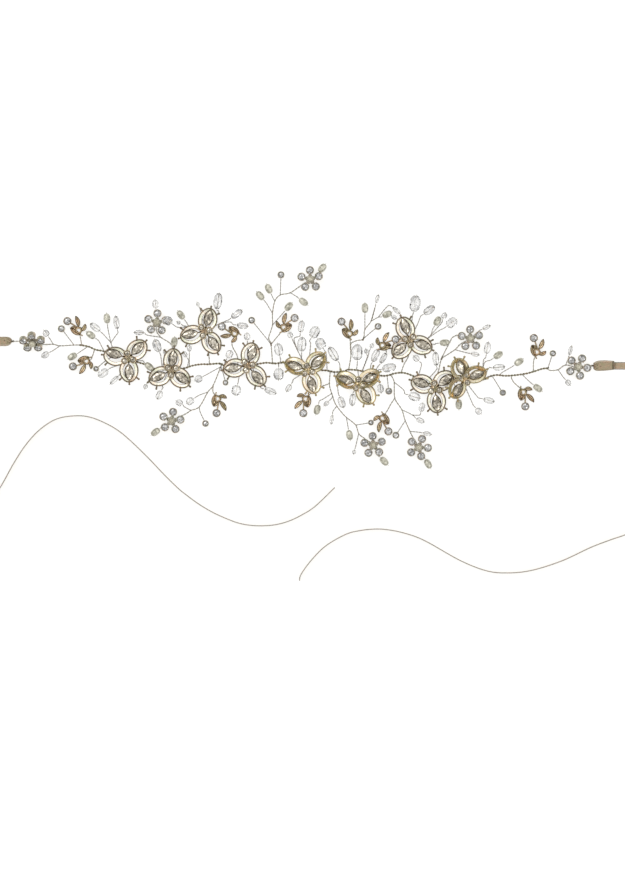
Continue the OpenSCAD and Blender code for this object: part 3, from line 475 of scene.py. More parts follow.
def grid_faces(n, m):
    """Faces of a grid of n rows of m points."""
    return [
        (i * m + k, (i + 1) * m + k, (i + 1) * m + k + 1, i * m + k + 1)
        for i in range(n - 1) for k in range(m - 1)
    ]


def grid_border(n, m):
    """Points round such a grid, from its first one."""
    border = [i * m for i in range(n)] + [(n - 1) * m + k for k in range(1, m)]
    return border + [i * m + m - 1 for i in range(n - 2, -1, -1)] + list(range(m - 2, 0, -1))


# Cut stones and beads

def round_outline(d):
    return lambda a: (d / 2 * cos(a), d / 2 * sin(a))


def marquise_outline(long, short):
    r = (long * long / 4 + short * short / 4) / short

    def at(a):
        x = long / 2 * cos(a)
        y = sqrt(max(0.0, r * r - x * x)) - r + short / 2
        return x, copysign(y, sin(a)) if abs(sin(a)) > 1e-9 else 0.0
    return at


def gem(outline, lights=1.0, crown=0.8, pavilion=0.8):
    """Stone cut in three rows of facets over its girdle plane, with the tints of its facets: painted glints
    and shade, drawn at random, palest on the crown and darkest at the girdle.
    """
    def point(k, scale, z):
        x, y = outline(2 * pi * k / 16)
        return x * scale, y * scale, z
    verts = [point(2 * k, 0.32, crown) for k in range(8)]
    verts += [point(2 * k + 1, 0.6, crown * 0.84) for k in range(8)]
    verts += [point(2 * k, 0.8, crown * 0.52) for k in range(8)]
    verts += [point(k, 1, 0.06) for k in range(16)]
    verts += [point(k, 1, -0.06) for k in range(16)]
    verts += [point(2 * k + 1, 0.5, -pavilion * 0.6) for k in range(8)]
    verts += [(0, 0, -pavilion)]
    t, s, u, g, h, l, c = 0, 8, 16, 24, 40, 56, 64
    faces = [tuple(range(8))]
    tints = [(0.3 + 0.5 * draw.random()) * lights]

    def facet(ids, low, high):
        faces.append(ids)
        tints.append((low + (high - low) * draw.random()) * lights)
    for k in range(8):
        n, b = (k + 1) % 8, (k - 1) % 8
        facet((t + k, s + k, t + n), 0.2, 1.0)
        facet((t + k, s + b, s + k), 0.2, 0.9)
        facet((s + b, u + k, s + k), 0.2, 0.9)
        facet((s + k, u + k, u + n), 0.2, 0.9)
        facet((u + k, g + 2 * k, g + 2 * k + 1), 0.15, 0.8)
        facet((u + k, g + (2 * k - 1) % 16, g + 2 * k), 0.15, 0.8)
        facet((u + k, g + 2 * k + 1, u + n), 0.15, 0.8)
        facet((h + 2 * k, l + b, c, l + k), 0.1, 0.4)
        facet((h + 2 * k, l + k, h + 2 * k + 1), 0.1, 0.4)
        facet((h + 2 * k + 1, l + k, h + (2 * k + 2) % 16), 0.1, 0.4)
    for k in range(16):
        facet((g + k, h + k, h + (k + 1) % 16, g + (k + 1) % 16), 0.0, 0.2)
    return verts, faces, tints


def crystal(long, wide):
    """Fire-polished glass bead along +Z, drilled through, with staggered facets."""
    sides = 10
    bore = 0.28
    r = wide / 2
    rows = [(-0.5, 0.4, 0), (-0.32, 0.84, 0.5), (0.0, 1.0, 0), (0.32, 0.84, 0.5), (0.5, 0.4, 0)]
    verts = []
    for z, scale, stagger in rows:
        for k in range(sides):
            a = 2 * pi * (k + stagger) / sides
            rr = max(r * scale, bore + 0.18)
            verts.append((rr * cos(a), rr * sin(a), z * long))
    faces = []
    for i in range(len(rows) - 1):
        a, b = i * sides, (i + 1) * sides
        for k in range(sides):
            n = (k + 1) % sides
            if rows[i][2] == 0:
                faces += [(a + k, a + n, b + k), (a + n, b + n, b + k)]
            else:
                faces += [(a + k, b + n, b + k), (a + k, a + n, b + n)]
    first = len(verts)
    for z in (-0.5, 0.5):
        for k in range(sides):
            a = 2 * pi * k / sides
            verts.append((bore * cos(a), bore * sin(a), z * long))
    top = (len(rows) - 1) * sides
    for k in range(sides):
        n = (k + 1) % sides
        faces.append((k, first + k, first + n, n))
        faces.append((top + n, first + sides + n, first + sides + k, top + k))
        faces.append((first + n, first + k, first + sides + k, first + sides + n))
    return verts, faces


def pearl(long, wide):
    """Oval pearl along +Z with faint ripples along it, drilled through."""
    phase = draw.random() * RANDOM_PHASE
    outer = []
    for a in np.linspace(-90, 90, 17):
        z = long / 2 * sin(radians(a))
        r = wide / 2 * cos(radians(a)) ** 0.65
        if r > BORE_R * 1.25:
            outer.append((r, z))
    low, high = outer[0][1], outer[-1][1]
    verts, faces = revolve([(BORE_R, low - 0.05)] + outer + [(BORE_R, high + 0.05)], 36, closed=True)
    for v in verts:
        around = atan2(v[1], v[0])
        ripple = 0.03 * cos(7 * around + phase) + 0.015 * cos(13 * around)
        if hypot(v[0], v[1]) > BORE_R + 0.1:
            v[:2] *= 0.97 + ripple
    return verts, faces


def claw(height, lean=0.4, thick=0.3):
    """A prong that stands at the origin, and bends over the stone towards -X at its tip."""
    bends = [(0.15, 0, 0), (0.12, 0, height * 0.7), (-0.1, 0, height), (-lean, 0, height + 0.1)]
    line = smooth_route(bends, height / 5)
    return tube(line, np.linspace(thick, thick * 0.55, len(line)), 6)


# Materials

METAL_GRAIN = 900.0


def new_material(name):
    material = bpy.data.materials.new(name)
    material.use_nodes = True
    tree = material.node_tree
    return material, tree, tree.nodes["Principled BSDF"]


def settle(tree, node, values):
    """Give each named input of the node its number or colour, or the socket that feeds it."""
    for name, value in values.items():
        if isinstance(value, bpy.types.NodeSocket):
            tree.links.new(value, node.inputs[name])
        else:
            node.inputs[name].default_value = value
    return node


def new_node(tree, kind, values, **settings):
    node = tree.nodes.new("ShaderNode" + kind)
    for name, value in settings.items():
        setattr(node, name, value)
    return settle(tree, node, values)


def noise(tree, scale):
    coords = new_node(tree, "TexCoord", {}).outputs["Object"]
    return new_node(tree, "TexNoise", {"Scale": scale, "Detail": 3.0, "Vector": coords}).outputs["Fac"]


def ramp(tree, value, *stops):
    """Colour ramp of stops: position, then a colour or one number for a grey."""
    node = new_node(tree, "ValToRGB", {"Fac": value})
    elements = node.color_ramp.elements
    while len(elements) < len(stops):
        elements.new(0.5)
    for element, (position, colour) in zip(elements, stops):
        element.position = position
        element.color = (*colour, 1) if isinstance(colour, tuple) else (colour, colour, colour, 1)
    return node.outputs["Color"]


def bump(tree, value, distance):
    return new_node(tree, "Bump", {"Distance": distance, "Height": value}).outputs["Normal"]


def tint_of(tree):
    return new_node(tree, "Attribute", {}, attribute_name="tint").outputs["Fac"]


def mix(tree, a, b, blend_type="MULTIPLY", factor=1.0):
    values = {"Factor": factor, "A": a, "B": b}
    return new_node(tree, "Mix", values, data_type="RGBA", blend_type=blend_type).outputs["Result"]


def metal(name, stops, roughness, packed=False):
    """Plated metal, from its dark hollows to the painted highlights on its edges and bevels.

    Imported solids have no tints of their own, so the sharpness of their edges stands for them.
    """
    material, tree, shader = new_material(name)
    if packed:
        value = new_node(tree, "NewGeometry", {}).outputs["Pointiness"]
        stops = [(0.4 + 0.2 * p, c) for p, c in stops]
        metallic = 1.0
    else:
        value = tint_of(tree)
        # The palest tints lose most of their metal, so that they paint a cream highlight
        metallic = ramp(tree, value, (0.75, 1), (1.0, 0.2))
    grain, hue = noise(tree, METAL_GRAIN), noise(tree, METAL_GRAIN / 4)
    patches = ramp(tree, grain, (0.3, (0.75, 0.76, 0.74)), (0.5, 1), (0.7, (1.15, 1.1, 1.02)))
    hues = ramp(tree, hue, (0.35, (0.9, 0.95, 0.85)), (0.5, 1), (0.65, (1.1, 0.98, 0.92)))
    settle(tree, shader, {
        "Base Color": mix(tree, mix(tree, ramp(tree, value, *stops), patches), hues), "Metallic": metallic,
        "Roughness": roughness, "Normal": bump(tree, noise(tree, METAL_GRAIN * 3), 0.00004),
    })
    return material


def stone_material(name, stops, cells, metallic=0.7, coat=1.0):
    """Foiled glass. Small cells of painted glint and shade stand for the facets behind, seen through the
    crown.
    """
    material, tree, shader = new_material(name)
    coords = new_node(tree, "TexCoord", {}).outputs["Object"]
    inner = new_node(tree, "TexVoronoi", {"Scale": cells, "Vector": coords}).outputs["Color"]
    split = new_node(tree, "SeparateColor", {"Color": inner}).outputs["Red"]
    settle(tree, shader, {
        "Base Color": ramp(tree, mix(tree, tint_of(tree), split, "MIX", 0.55), *stops), "Metallic": metallic,
        "Roughness": 0.12, "Coat Weight": coat, "Coat Roughness": 0.02,
    })
    return material


def glass_material():
    material, tree, shader = new_material("clear_glass")
    # Layer Weight darkens the glass towards its edges, a painted edge shade; the facets with low tints are
    # painted grey, as dark reflections
    edge = new_node(tree, "LayerWeight", {"Blend": 0.5}).outputs["Facing"]
    thick = ramp(tree, edge, (0.05, 0.93), (0.35, (0.7, 0.7, 0.69)), (0.6, (0.28, 0.28, 0.27)))
    facets = ramp(tree, tint_of(tree), (0.0, 0.3), (0.1, (0.62, 0.62, 0.63)), (0.28, 0.97), (0.5, 1))
    settle(tree, shader, {
        "Base Color": mix(tree, thick, facets), "Transmission Weight": 1.0, "Roughness": 0.04, "IOR": 1.52,
    })
    return material


def pearl_material(name, low, high):
    material, tree, shader = new_material(name)
    settle(tree, shader, {
        "Base Color": ramp(tree, noise(tree, 520.0), (0.38, low), (0.62, high)), "Metallic": 0.15,
        "Roughness": 0.28, "Coat Weight": 0.6, "Coat Roughness": 0.12, "Sheen Weight": 0.2,
    })
    return material


def ribbon_material(name, *stops):
    """Ribbed ribbon, its colour run by the faces' tints, with faint stains."""
    material, tree, shader = new_material(name)
    coords = new_node(tree, "TexCoord", {}).outputs["UV"]
    waves = {"Scale": 1.0, "Distortion": 0.4, "Vector": coords}
    wave = new_node(tree, "TexWave", waves, bands_direction="X").outputs["Fac"]
    ribs = ramp(tree, wave, (0.2, 0.82), (0.8, 1.1))
    stains = ramp(tree, noise(tree, 420.0), (0.35, (0.86, 0.92, 0.8)), (0.5, 1), (0.65, (1.14, 0.98, 0.93)))
    settle(tree, shader, {
        "Base Color": mix(tree, mix(tree, ramp(tree, tint_of(tree), *stops), ribs), stains),
        "Roughness": 0.75, "Sheen Weight": 0.2, "Normal": bump(tree, wave, 0.00006),
    })
    return material


# Metal colours along the tints. The palest stops of the first three paint highlights.
ANTIQUE = [
    (0.0, (0.07, 0.055, 0.038)), (0.3, (0.24, 0.195, 0.135)), (0.6, (0.5, 0.42, 0.3)),
    (0.8, (0.85, 0.72, 0.5)), (1.0, (1.0, 0.96, 0.85)),
]
YELLOW = [
    (0.0, (0.15, 0.12, 0.06)), (0.3, (0.46, 0.38, 0.22)), (0.6, (0.78, 0.67, 0.44)), (1.0, (1.0, 0.95, 0.8)),
]
LEAVES = [
    (0.0, (0.045, 0.03, 0.016)), (0.3, (0.22, 0.165, 0.1)), (0.6, (0.46, 0.36, 0.23)),
    (0.8, (0.78, 0.63, 0.43)), (1.0, (1.0, 0.88, 0.68)),
]
STEM = [(0.0, (0.06, 0.052, 0.036)), (0.5, (0.24, 0.212, 0.15)), (1.0, (0.6, 0.54, 0.41))]
WIRE = [(0.0, (0.05, 0.042, 0.032)), (0.5, (0.22, 0.2, 0.17)), (1.0, (0.5, 0.46, 0.38))]
CUPS = [(0.0, (0.13, 0.12, 0.1)), (0.5, (0.34, 0.315, 0.265)), (1.0, (0.5, 0.465, 0.385))]
GOLD = metal("antique_gold_plating", ANTIQUE, 0.34)
BROWN_GOLD = metal("antique_gold_leaves", LEAVES, 0.36)
YELLOW_GOLD = metal("yellow_gold_plating", YELLOW, 0.3)
PACKED_GOLD = metal("antique_gold_castings", CUPS, 0.36, packed=True)
PLATE_GOLD = metal("antique_gold_plates", CUPS, 0.4)
WIRE_GOLD = metal("wire_gold", WIRE, 0.38)
STEM_GOLD = metal("stem_gold", STEM, 0.4)
GREY_STONE = stone_material("foiled_rhinestone", [
    (0.1, (0.055, 0.046, 0.034)), (0.38, (0.25, 0.217, 0.165)), (0.6, (0.42, 0.375, 0.29)),
    (0.85, (0.88, 0.82, 0.7)),
], 950)
COOL_STONE = stone_material("round_rhinestone", [
    (0.05, 0.1), (0.3, (0.27, 0.268, 0.262)), (0.52, (0.46, 0.457, 0.445)), (0.72, (0.9, 0.89, 0.88)),
], 1500, metallic=0.4, coat=0.5)
CLEAR = glass_material()
IVORY = pearl_material("ivory_pearl_coating", (0.27, 0.262, 0.2), (0.6, 0.58, 0.475))
PALE_GOLD = pearl_material("gold_pearl_coating", (0.34, 0.31, 0.22), (0.5, 0.47, 0.36))
RIBBON = ribbon_material(
    "woven_ribbon", (0.0, (0.38, 0.29, 0.19)), (0.5, (0.33, 0.29, 0.22)), (1.0, (0.33, 0.31, 0.28)),
)
FOLD = ribbon_material(
    "folded_ribbon", (0.0, (0.09, 0.065, 0.035)), (0.5, (0.35, 0.275, 0.175)), (1.0, (0.52, 0.44, 0.34)),
)


# Camera, floor and light

CAMERA_HEIGHT = 2.0
SENSOR = 36
# Metres of floor that the photograph's height covers
VIEW_HEIGHT = 0.56875

scene = bpy.context.scene


def add_object(name, data):
    obj = bpy.data.objects.new(name, data)
    scene.collection.objects.link(obj)
    return obj


camera = add_object("camera", bpy.data.cameras.new("camera"))
camera.location = (6.47 * MM, -46.08 * MM, CAMERA_HEIGHT)
camera.data.lens = SENSOR * CAMERA_HEIGHT / VIEW_HEIGHT
camera.data.clip_start = 0.05
scene.camera = camera

floor_mesh = bpy.data.meshes.new("floor")
floor_mesh.from_pydata([(-3, -3, 0), (3, -3, 0), (3, 3, 0), (-3, 3, 0)], [], [(0, 1, 2, 3)])
floor = add_object("floor", floor_mesh)
floor_material, floor_tree, floor_shader = new_material("pale_floor")
settle(floor_tree, floor_shader, {
    "Base Color": (0.3, 0.3, 0.3, 1), "Roughness": 0.9, "Specular IOR Level": 0.0,
    "Emission Color": (1, 0.99, 0.965, 1), "Emission Strength": 0.78,
})
floor_mesh.materials.append(floor_material)

world = bpy.data.worlds.new("studio")
scene.world = world
world.use_nodes = True
sky = world.node_tree
sky_coords = new_node(sky, "TexCoord", {}).outputs["Generated"]
sky_height = new_node(sky, "SeparateXYZ", {"Vector": sky_coords}).outputs["Z"]
sky_colour = ramp(sky, sky_height, (0.0, 0.1), (0.3, 0.2), (0.6, 1.25), (1.0, 0.8))
settle(sky, sky.nodes["Background"], {"Color": sky_colour, "Strength": 1.0})

for name, place, size, energy in (("key", (-0.9, 0.8, 1.6), 0.9, 9), ("fill", (1.2, -0.6, 1.4), 1.0, 6)):
    light = add_object(name, bpy.data.lights.new(name, "AREA"))
    light.data.size = size
    light.data.energy = energy
    light.location = place
    light.rotation_euler = (-Vector(place)).to_track_quat("-Z", "Y").to_euler()
scene.view_settings.view_transform = "Standard"

# Ribbons

RIBBON_W = 5.0
RIBBON_T = 0.7


def ribbon(name, rows, node):
    """Woven ribbon along rows of x, y and turn. It stands on the floor whatever its turn."""
    line = smooth_route(filled(rows, 3, 90), 1.5)
    flat = np.column_stack([line[:, :2], np.zeros(len(line))])
    ahead = directions(flat)
    side = np.cross(ahead, (0, 0, 1))
    across = np.linspace(-0.5, 0.5, 9)
    section = [(RIBBON_W * a, RIBBON_T / 2 * (0.75 + 0.25 * cos(pi * a * 2))) for a in across]
    section += [(w, -h) for w, h in reversed(section)]
    verts, centre = [], []
    for p, s, t in zip(line, side, np.radians(np.clip(line[:, 2], 0, 90))):
        corners = [w * sin(t) + h * cos(t) for w, h in section]
        z = -min(corners)
        centre.append((p[0], p[1], z))
        for w, h in section:
            verts.append((
                p[0] + s[0] * (w * cos(t) - h * sin(t)),
                p[1] + s[1] * (w * cos(t) - h * sin(t)),
                z + w * sin(t) + h * cos(t),
            ))
    shape = Shape()
    edge = [abs(section[k][0] + section[(k + 1) % len(section)][0]) / 2 > 1.6 for k in range(len(section))]
    tints = [float(e) for e in edge] * (len(line) - 1) + [0.5, 0.5]
    shape.add((verts, rings_skin(len(line), len(section))), tint=tints)
    obj = shape.build(name, RIBBON, "ribbon", (node,))
    uv = obj.data.uv_layers.new(name="weave")
    run = running_length(flat)
    for loop in obj.data.loops:
        i, k = divmod(loop.vertex_index, len(section))
        uv.data[loop.index].uv = (run[i] * 0.5, section[k][0] * 0.5)


ribbon("tie_ribbon_left", RIBBON_LEFT, "ribbon_left")
ribbon("tie_ribbon_right", RIBBON_RIGHT, "ribbon_right")

# Sewn folds at the ends of the wire

FOLD_LONG = 13.5
SEAM_X = 12.6
# Edges of the fold from its tip, seen from above: along it, its lower and its upper edge
FOLD_EDGES = {
    "fold_right": [
        (0.0, -1.9, 1.9), (0.8, -2.8, 2.4), (1.8, -3.2, 2.9), (3.4, -3.3, 3.4), (7.0, -3.2, 3.6),
        (13.5, -2.5, 3.2),
    ],
    "fold_left": [
        (0.0, -1.3, 0.9), (0.9, -2.3, 2.2), (2.4, -2.8, 3.0), (4.0, -2.9, 3.2), (7.0, -2.9, 3.2),
        (13.5, -2.7, 2.9),
    ],
}


def fold_edges(name, x):
    table = np.array(FOLD_EDGES[name])
    return np.interp(x, table[:, 0], table[:, 1]), np.interp(x, table[:, 0], table[:, 2])


def fold_piece(name, matrix):
    """Ribbon folded over the wire's end, with the back layer's edge on one side, and its stitches."""
    n, m = 44, 19
    verts, tints = [], []
    phase = draw.random() * RANDOM_PHASE
    for x in np.linspace(0, FOLD_LONG, n):
        low, high = fold_edges(name, x)
        for k in range(m):
            v = 2 * k / (m - 1) - 1
            y = (low + high) / 2 + v * (high - low) / 2
            back = (v > 0.7) * 0.55
            full = sqrt(min(1, (x + 0.15) / 1.1)) * sqrt(max(0.05, 1 - abs(v) ** 6))
            ridge = 0.28 * exp(-(y / 0.9) ** 2) * max(0, 1 - x / 8)
            crease = 0.1 * sin(2.1 * x + 1.4 * y + phase) + 0.06 * sin(4.4 * x - 2.2 * y)
            seam = 0.45 * exp(-((x - SEAM_X) / 0.35) ** 2)
            verts.append((x, y, 0.5 + (1.45 + ridge + crease - seam - back) * full))
    faces = grid_faces(n, m)
    for i in range(n - 1):
        for k in range(m - 1):
            v = 2 * (k + 0.5) / (m - 1) - 1
            tint = 0.95 if 0.7 < v < 0.93 else (0.3 if abs(v) > 0.93 else 0.5)
            if 0.55 < v <= 0.7:
                tint = 0.32
            tints.append(0.25 if i in (n - 4, n - 3) or i < 2 else tint + 0.16 * (draw.random() - 0.5))
    start = len(verts)
    border = grid_border(n, m)
    for b in border:
        x, y, z = verts[b]
        verts.append((x, y * 0.94, 0.04))
    for j in range(len(border)):
        k = (j + 1) % len(border)
        faces.append((border[j], start + j, start + k, border[k]))
    faces.append(tuple(range(start + len(border) - 1, start - 1, -1)))
    shape = Shape()
    shape.add((verts, faces), matrix, tint=tints + [0.3] * len(border) + [0.4])
    low, high = fold_edges(name, SEAM_X)
    for y in np.linspace(low + 0.4, high - 0.9, 7):
        line = [(12.1, y, 1.75), (12.4, y + 0.12, 1.95), (12.8, y + 0.3, 1.95), (13.15, y + 0.4, 1.75)]
        shape.add(tube(smooth_route(line, 0.15), 0.14, 6), matrix, tint=0.05)
    for x, y, a in ((1.3, 0.9, 40), (1.2, -0.6, -30), (2.4, 0.4, 80), (2.2, -1.5, 20), (4.6, -0.3, 70)):
        c, d = 0.5 * cos(radians(a)), 0.5 * sin(radians(a))
        line = [(x + s * c, y + s * d, z) for s, z in ((-1, 1.85), (-0.5, 2.3), (0.5, 2.3), (1, 1.85))]
        shape.add(tube(smooth_route(line, 0.15), 0.13, 6), matrix, tint=0.1)
    shape.add(helix(0.62, 1.5, 4, 0.26), matrix @ shift(-0.6, 0, 1.2), tint=0.1)
    obj = shape.build(f"sewn_{name}", FOLD, "ribbon", (f"ribbon_{name}",))
    uv = obj.data.uv_layers.new(name="weave")
    for loop in obj.data.loops:
        p = obj.data.vertices[loop.vertex_index].co
        uv.data[loop.index].uv = (p.x * 500, p.y * 500)


fold_piece("fold_left", shift(-189, 16.5) @ turn(180))
fold_piece("fold_right", shift(189, 0.5))

# Wires

# Thickness of one strand, length of one turn of the twist, and how far the strands stand apart
STEM_END = (0.34, 4.4, 1.5)
STEM_CORE = (0.48, 6.0, 1.0)
STEM_COVER = (0.4, 3.9, 2.6)
BRANCH = (0.33, 4.6, 1.5)
SPRIG = (0.28, 4.2, 1.6)

stem, sprigs = Shape(), Shape()


def sprig(x, y, z, direction, long, bends):
    """Wire that leaves its start low, rises, runs through a bead and ends in a small loop."""
    ahead = np.array((cos(radians(direction)), sin(radians(direction)), 0))
    middle = np.array((x, y, z))
    entry = middle - ahead * (long / 2 + 0.7)
    approach = entry - ahead * 2
    rows = filled(bends, 3, WIRE_LOW)
    if hypot(entry[0] - rows[-1][0], entry[1] - rows[-1][1]) > 3:
        rows.append((approach[0], approach[1], WIRE_LOW))
    strands(sprigs, rows + [tuple(entry)], *SPRIG)
    out = middle + ahead * (long / 2 + 0.35)
    sprigs.add(tube([entry, middle, out], 0.13, 5), tint=1.0)
    loop = [
        out + 0.45 * (ahead * sin(a) + np.array((0, 0, 1 - cos(a)))) * 0.8
        for a in np.linspace(0, 5.2, 9)
    ]
    sprigs.add(tube(loop, 0.15, 5), tint=0.8)


strands(stem, filled(STEM_LEFT, 3, WIRE_LOW), *STEM_END)
strands(stem, filled(STEM_MIDDLE, 3, STEM_LOW), *STEM_CORE, sides=7, tint=0.55)
strands(stem, filled(STEM_MIDDLE, 3, STEM_LOW), *STEM_COVER, tint=0.65)
strands(stem, filled(STEM_RIGHT, 3, WIRE_LOW), *STEM_END)
for rows in BRANCHES:
    strands(stem, filled(rows, 3, WIRE_LOW), *BRANCH)
for x, y, angle in WRAPS:
    stem.add(helix(0.44, 2.4, 5, 0.32), shift(x, y, STEM_LOW) @ turn(angle))
for x, y, d, bends in SINGLE_STONES:
    strands(sprigs, filled(bends + [(x, y)], 3, WIRE_LOW), *SPRIG)
for x, y, direction, bends, lift in filled(PEARLS, 5, 0):
    sprig(x, y, PEARL_WIDTH / 2 + lift, direction, PEARL_LENGTH, bends)
for x, y, direction, long, wide, bends, lift in filled(CRYSTALS_LEFT + CRYSTALS_RIGHT, 7, 0):
    sprig(x, y, wide / 2 + lift, direction, long, bends)
stem.build("twisted_stem", STEM_GOLD, "gold_wire", ("vine_wire",))
sprigs.build("twisted_sprigs", WIRE_GOLD, "gold_wire")

# Beads

for hand, rows in (("left", CRYSTALS_LEFT), ("right", CRYSTALS_RIGHT)):
    beads = Shape()
    for x, y, direction, long, wide, bends, lift in filled(rows, 7, 0):
        verts, faces = crystal(long, wide)
        place = shift(x, y, wide / 2 + lift) @ turn(direction) @ turn(90, "Y") @ turn(draw.random() * 45)
        # A bead that lies over a flower has no facets painted grey as dark reflections
        least = 0.4 if lift else 0.0
        beads.add((verts, faces), place, tint=[max(draw.random(), least) for _ in faces], smooth=False)
    beads.build(f"cut_beads_{hand}", CLEAR, "crystal", (f"crystal_beads_{hand}",), shadow=False)

beads = Shape()
for x, y, direction, bends, lift in filled(PEARLS, 5, 0):
    place = shift(x, y, PEARL_WIDTH / 2 + lift) @ turn(direction) @ turn(90, "Y")
    beads.add(pearl(PEARL_LENGTH, PEARL_WIDTH), place)
beads.build("oval_pearls", IVORY, "ivory_pearl", ("rice_pearls",))

# Stones and their claws

claws = Shape()


def round_stone(shape, d, matrix, claw_count=4, first=45, lights=0.62):
    lights *= 0.85 + 0.3 * draw.random()
    shape.add_tinted(gem(round_outline(d + 0.1), lights), matrix, smooth=False)
    for k in range(claw_count):
        place = matrix @ turn(first + 360 / claw_count * k)
        place = place @ shift(d / 2 + STONE_GAP + 0.1, 0, CLAW_BASE - GIRDLE_Z)
        claws.add(claw(CUP_H - CLAW_BASE + 0.5), place)


def mid_direction(petals, i):
    a, b = petals[i][0], petals[(i + 1) % 3][0]
    apart = (a - b) % 360
    return a - apart / 2 if apart < 180 else a + (360 - apart) / 2


PETAL_LENGTH = 15.4
PETAL_HALF = 5.75
TIP_R = 4.4
FRAME_Z = 0.65
# Section of a petal's frame: outward, up, and the tint of the band that starts there. The pale band on its
# inner bevel is a painted highlight.
FRAME_SECTION = [
    (-0.36, 0.4, 0.2), (-0.05, 0.56, 0.27), (0.3, 0.48, 0.2), (0.52, 0.22, 0.14), (0.56, 0.0, 0.12),
    (0.45, -0.3, 0.1), (0.0, -0.5, 0.1), (-0.6, -0.5, 0.1), (-1.7, -0.2, 0.3), (-2.0, 0.05, 0.4),
    (-1.92, 0.25, 0.42), (-1.74, 0.27, 1.0),
]
# The same for the petals that tilt, whose bevel is deeper, with its painted highlight a little less pale
DEEP_SECTION = FRAME_SECTION[:8] + [(-1.9, -0.4, 0.3), (-2.1, -0.2, 0.45), (-1.95, -0.05, 0.8)]
# Walls of a marquise collet: grown from the stone's outline, up, and the tint of the band that starts there
COLLET = [
    (0.1, 0.0, 0.2), (0.42, 0.9, 0.4), (0.42, 2.3, 0.3), (0.5, 2.45, 0.18), (0.42, 2.62, 0.1),
    (0.24, 2.6, 0.05), (0.13, 2.4, 0.05), (0.13, 1.35, 0.05),
]
HEART_PLATE = [(0.05, 0.0), (2.9, 0.0), (3.1, 0.3), (3.0, 1.2), (0.05, 1.3)]
BALL = [(0.02, -0.75), (0.4, -0.62), (0.7, -0.28), (0.7, 0.28), (0.4, 0.62), (0.02, 0.75)]


def petal_line():
    """Points round a petal's frame, from the middle of the flower and back."""
    tip_x = PETAL_LENGTH - TIP_R
    a = (tip_x ** 2 - TIP_R ** 2) / (2 * tip_x)
    b = TIP_R / tip_x
    c = PETAL_HALF - a * b
    side_r = (c - sqrt(c * c - b * b * (a * a + PETAL_HALF ** 2))) / (b * b)
    side_x, side_y = a + b * side_r, side_r - PETAL_HALF
    join, root = atan2(side_y, tip_x - side_x), atan2(side_y, -side_x)
    upper = [
        (side_x + side_r * cos(t), side_r * sin(t) - side_y) for t in np.linspace(root, join, 24)
    ]
    tip = [(tip_x + TIP_R * cos(t), TIP_R * sin(t)) for t in np.linspace(join, -join, 16)][1:-1]
    return np.array(upper + tip + [(px, -py) for px, py in reversed(upper)])


def loft(loops, tints):
    """Skin over closed loops of as many points each, capped at both ends."""
    n = len(loops[0])
    verts = np.concatenate(loops)
    faces = rings_skin(len(loops), n)
    return verts, faces, [t for t in tints[:len(loops) - 1] for _ in range(n)] + [tints[0], tints[-1]]


def petal_frame(section):
    line = petal_line()
    ahead = directions(line)
    out = np.stack([-ahead[:, 1], ahead[:, 0]], axis=1)
    loops = []
    for p, n in zip(line, out):
        loops.append([(p[0] + n[0] * o, p[1] + n[1] * o, FRAME_Z + z) for o, z, tint in section])
    verts, faces, tints = loft(loops, [0.1] * len(loops))
    bands = len(section)
    for k in range((len(loops) - 1) * bands):
        tints[k] = section[k % bands][2]
    return verts, faces, tints


def collet(long, short):
    loops = []
    for grow, z, tint in COLLET:
        edge = marquise_outline(long + 2 * grow, short + 2 * grow)
        loops.append([(*edge(a), z) for a in circle(40)])
    return loft(loops, [tint for grow, z, tint in COLLET])


def cup(inner_r, paler=0.0):
    """Round cup for a stone, with a rounded rim."""
    outer_r = inner_r + CUP_WALL - 0.05
    return tinted_ring([
        (0.05, 1.3, 0.1), (inner_r, 1.3, 0.15), (inner_r, CUP_H - 0.1, 0.4),
        (inner_r + 0.14, CUP_H + 0.02, 0.5), (outer_r, CUP_H - 0.2, 0.26), (outer_r, 0.9, 0.2),
        (inner_r - 0.35, 0.1, 0.1), (0.05, 0.1, 0.1),
    ], 24, paler)


FRAME, DEEP_FRAME, COLLET_SHAPE = petal_frame(FRAME_SECTION), petal_frame(DEEP_SECTION), collet(*MARQUISE)


def knob(shape, start, end, matrix):
    shape.add(tube([(*start, FRAME_Z), (*end, FRAME_Z)], [0.62, 0.52], 7), matrix, tint=0.24)
    shape.add(revolve(BALL, 9), matrix @ shift(*end, FRAME_Z), tint=0.27)


def petal_matrix(middle, petal):
    direction, slide, rise, roll, frame_turn = petal
    return middle @ turn(direction) @ shift(slide, 0) @ turn(-rise, "Y") @ turn(roll, "X")


def small_flower_matrix(row):
    x, y, z, first, lean = row
    return shift(x, y, z) @ turn(lean, "X") @ turn(first)


for i, (x, y, petals, lift) in enumerate(FLOWERS, 1):
    setting = Shape()
    middle = shift(x, y, FLOWER_Z + lift)
    setting.add(revolve(HEART_PLATE, 24), middle, tint=0.48)
    for petal in petals:
        place = petal_matrix(middle, petal)
        roll, frame_turn = petal[3:]
        framed = place @ turn(frame_turn)
        setting.add_tinted(DEEP_FRAME if roll else FRAME, framed)
        knob(setting, (PETAL_LENGTH, 0), (PETAL_LENGTH + 1.6, 0), framed)
        for side in (-1, 1):
            knob(setting, (PETAL_LENGTH - 3.2, side * 4.1), (PETAL_LENGTH - 1.5, side * 6.2), framed)
        setting.add(tube([(-1, 0, 0.4), (PETAL_LENGTH - 0.2, 0, 0.4)], 0.42, 8), place, tint=0.2)
        setting.add_tinted(COLLET_SHAPE, place @ shift(MARQUISE_X, 0))
    for k in range(3):
        place = middle @ turn(mid_direction(petals, k)) @ shift(HEART_RADIUS, 0)
        setting.add_tinted(cup(HEART_STONE / 2 + STONE_GAP, paler=0.3), place)
    yellow = i in YELLOW_FLOWERS
    setting.build(
        f"flower_{i}_metal", YELLOW_GOLD if yellow else GOLD, "bright_gold" if yellow else "antique_gold",
        (f"flower_{i}_setting",),
    )

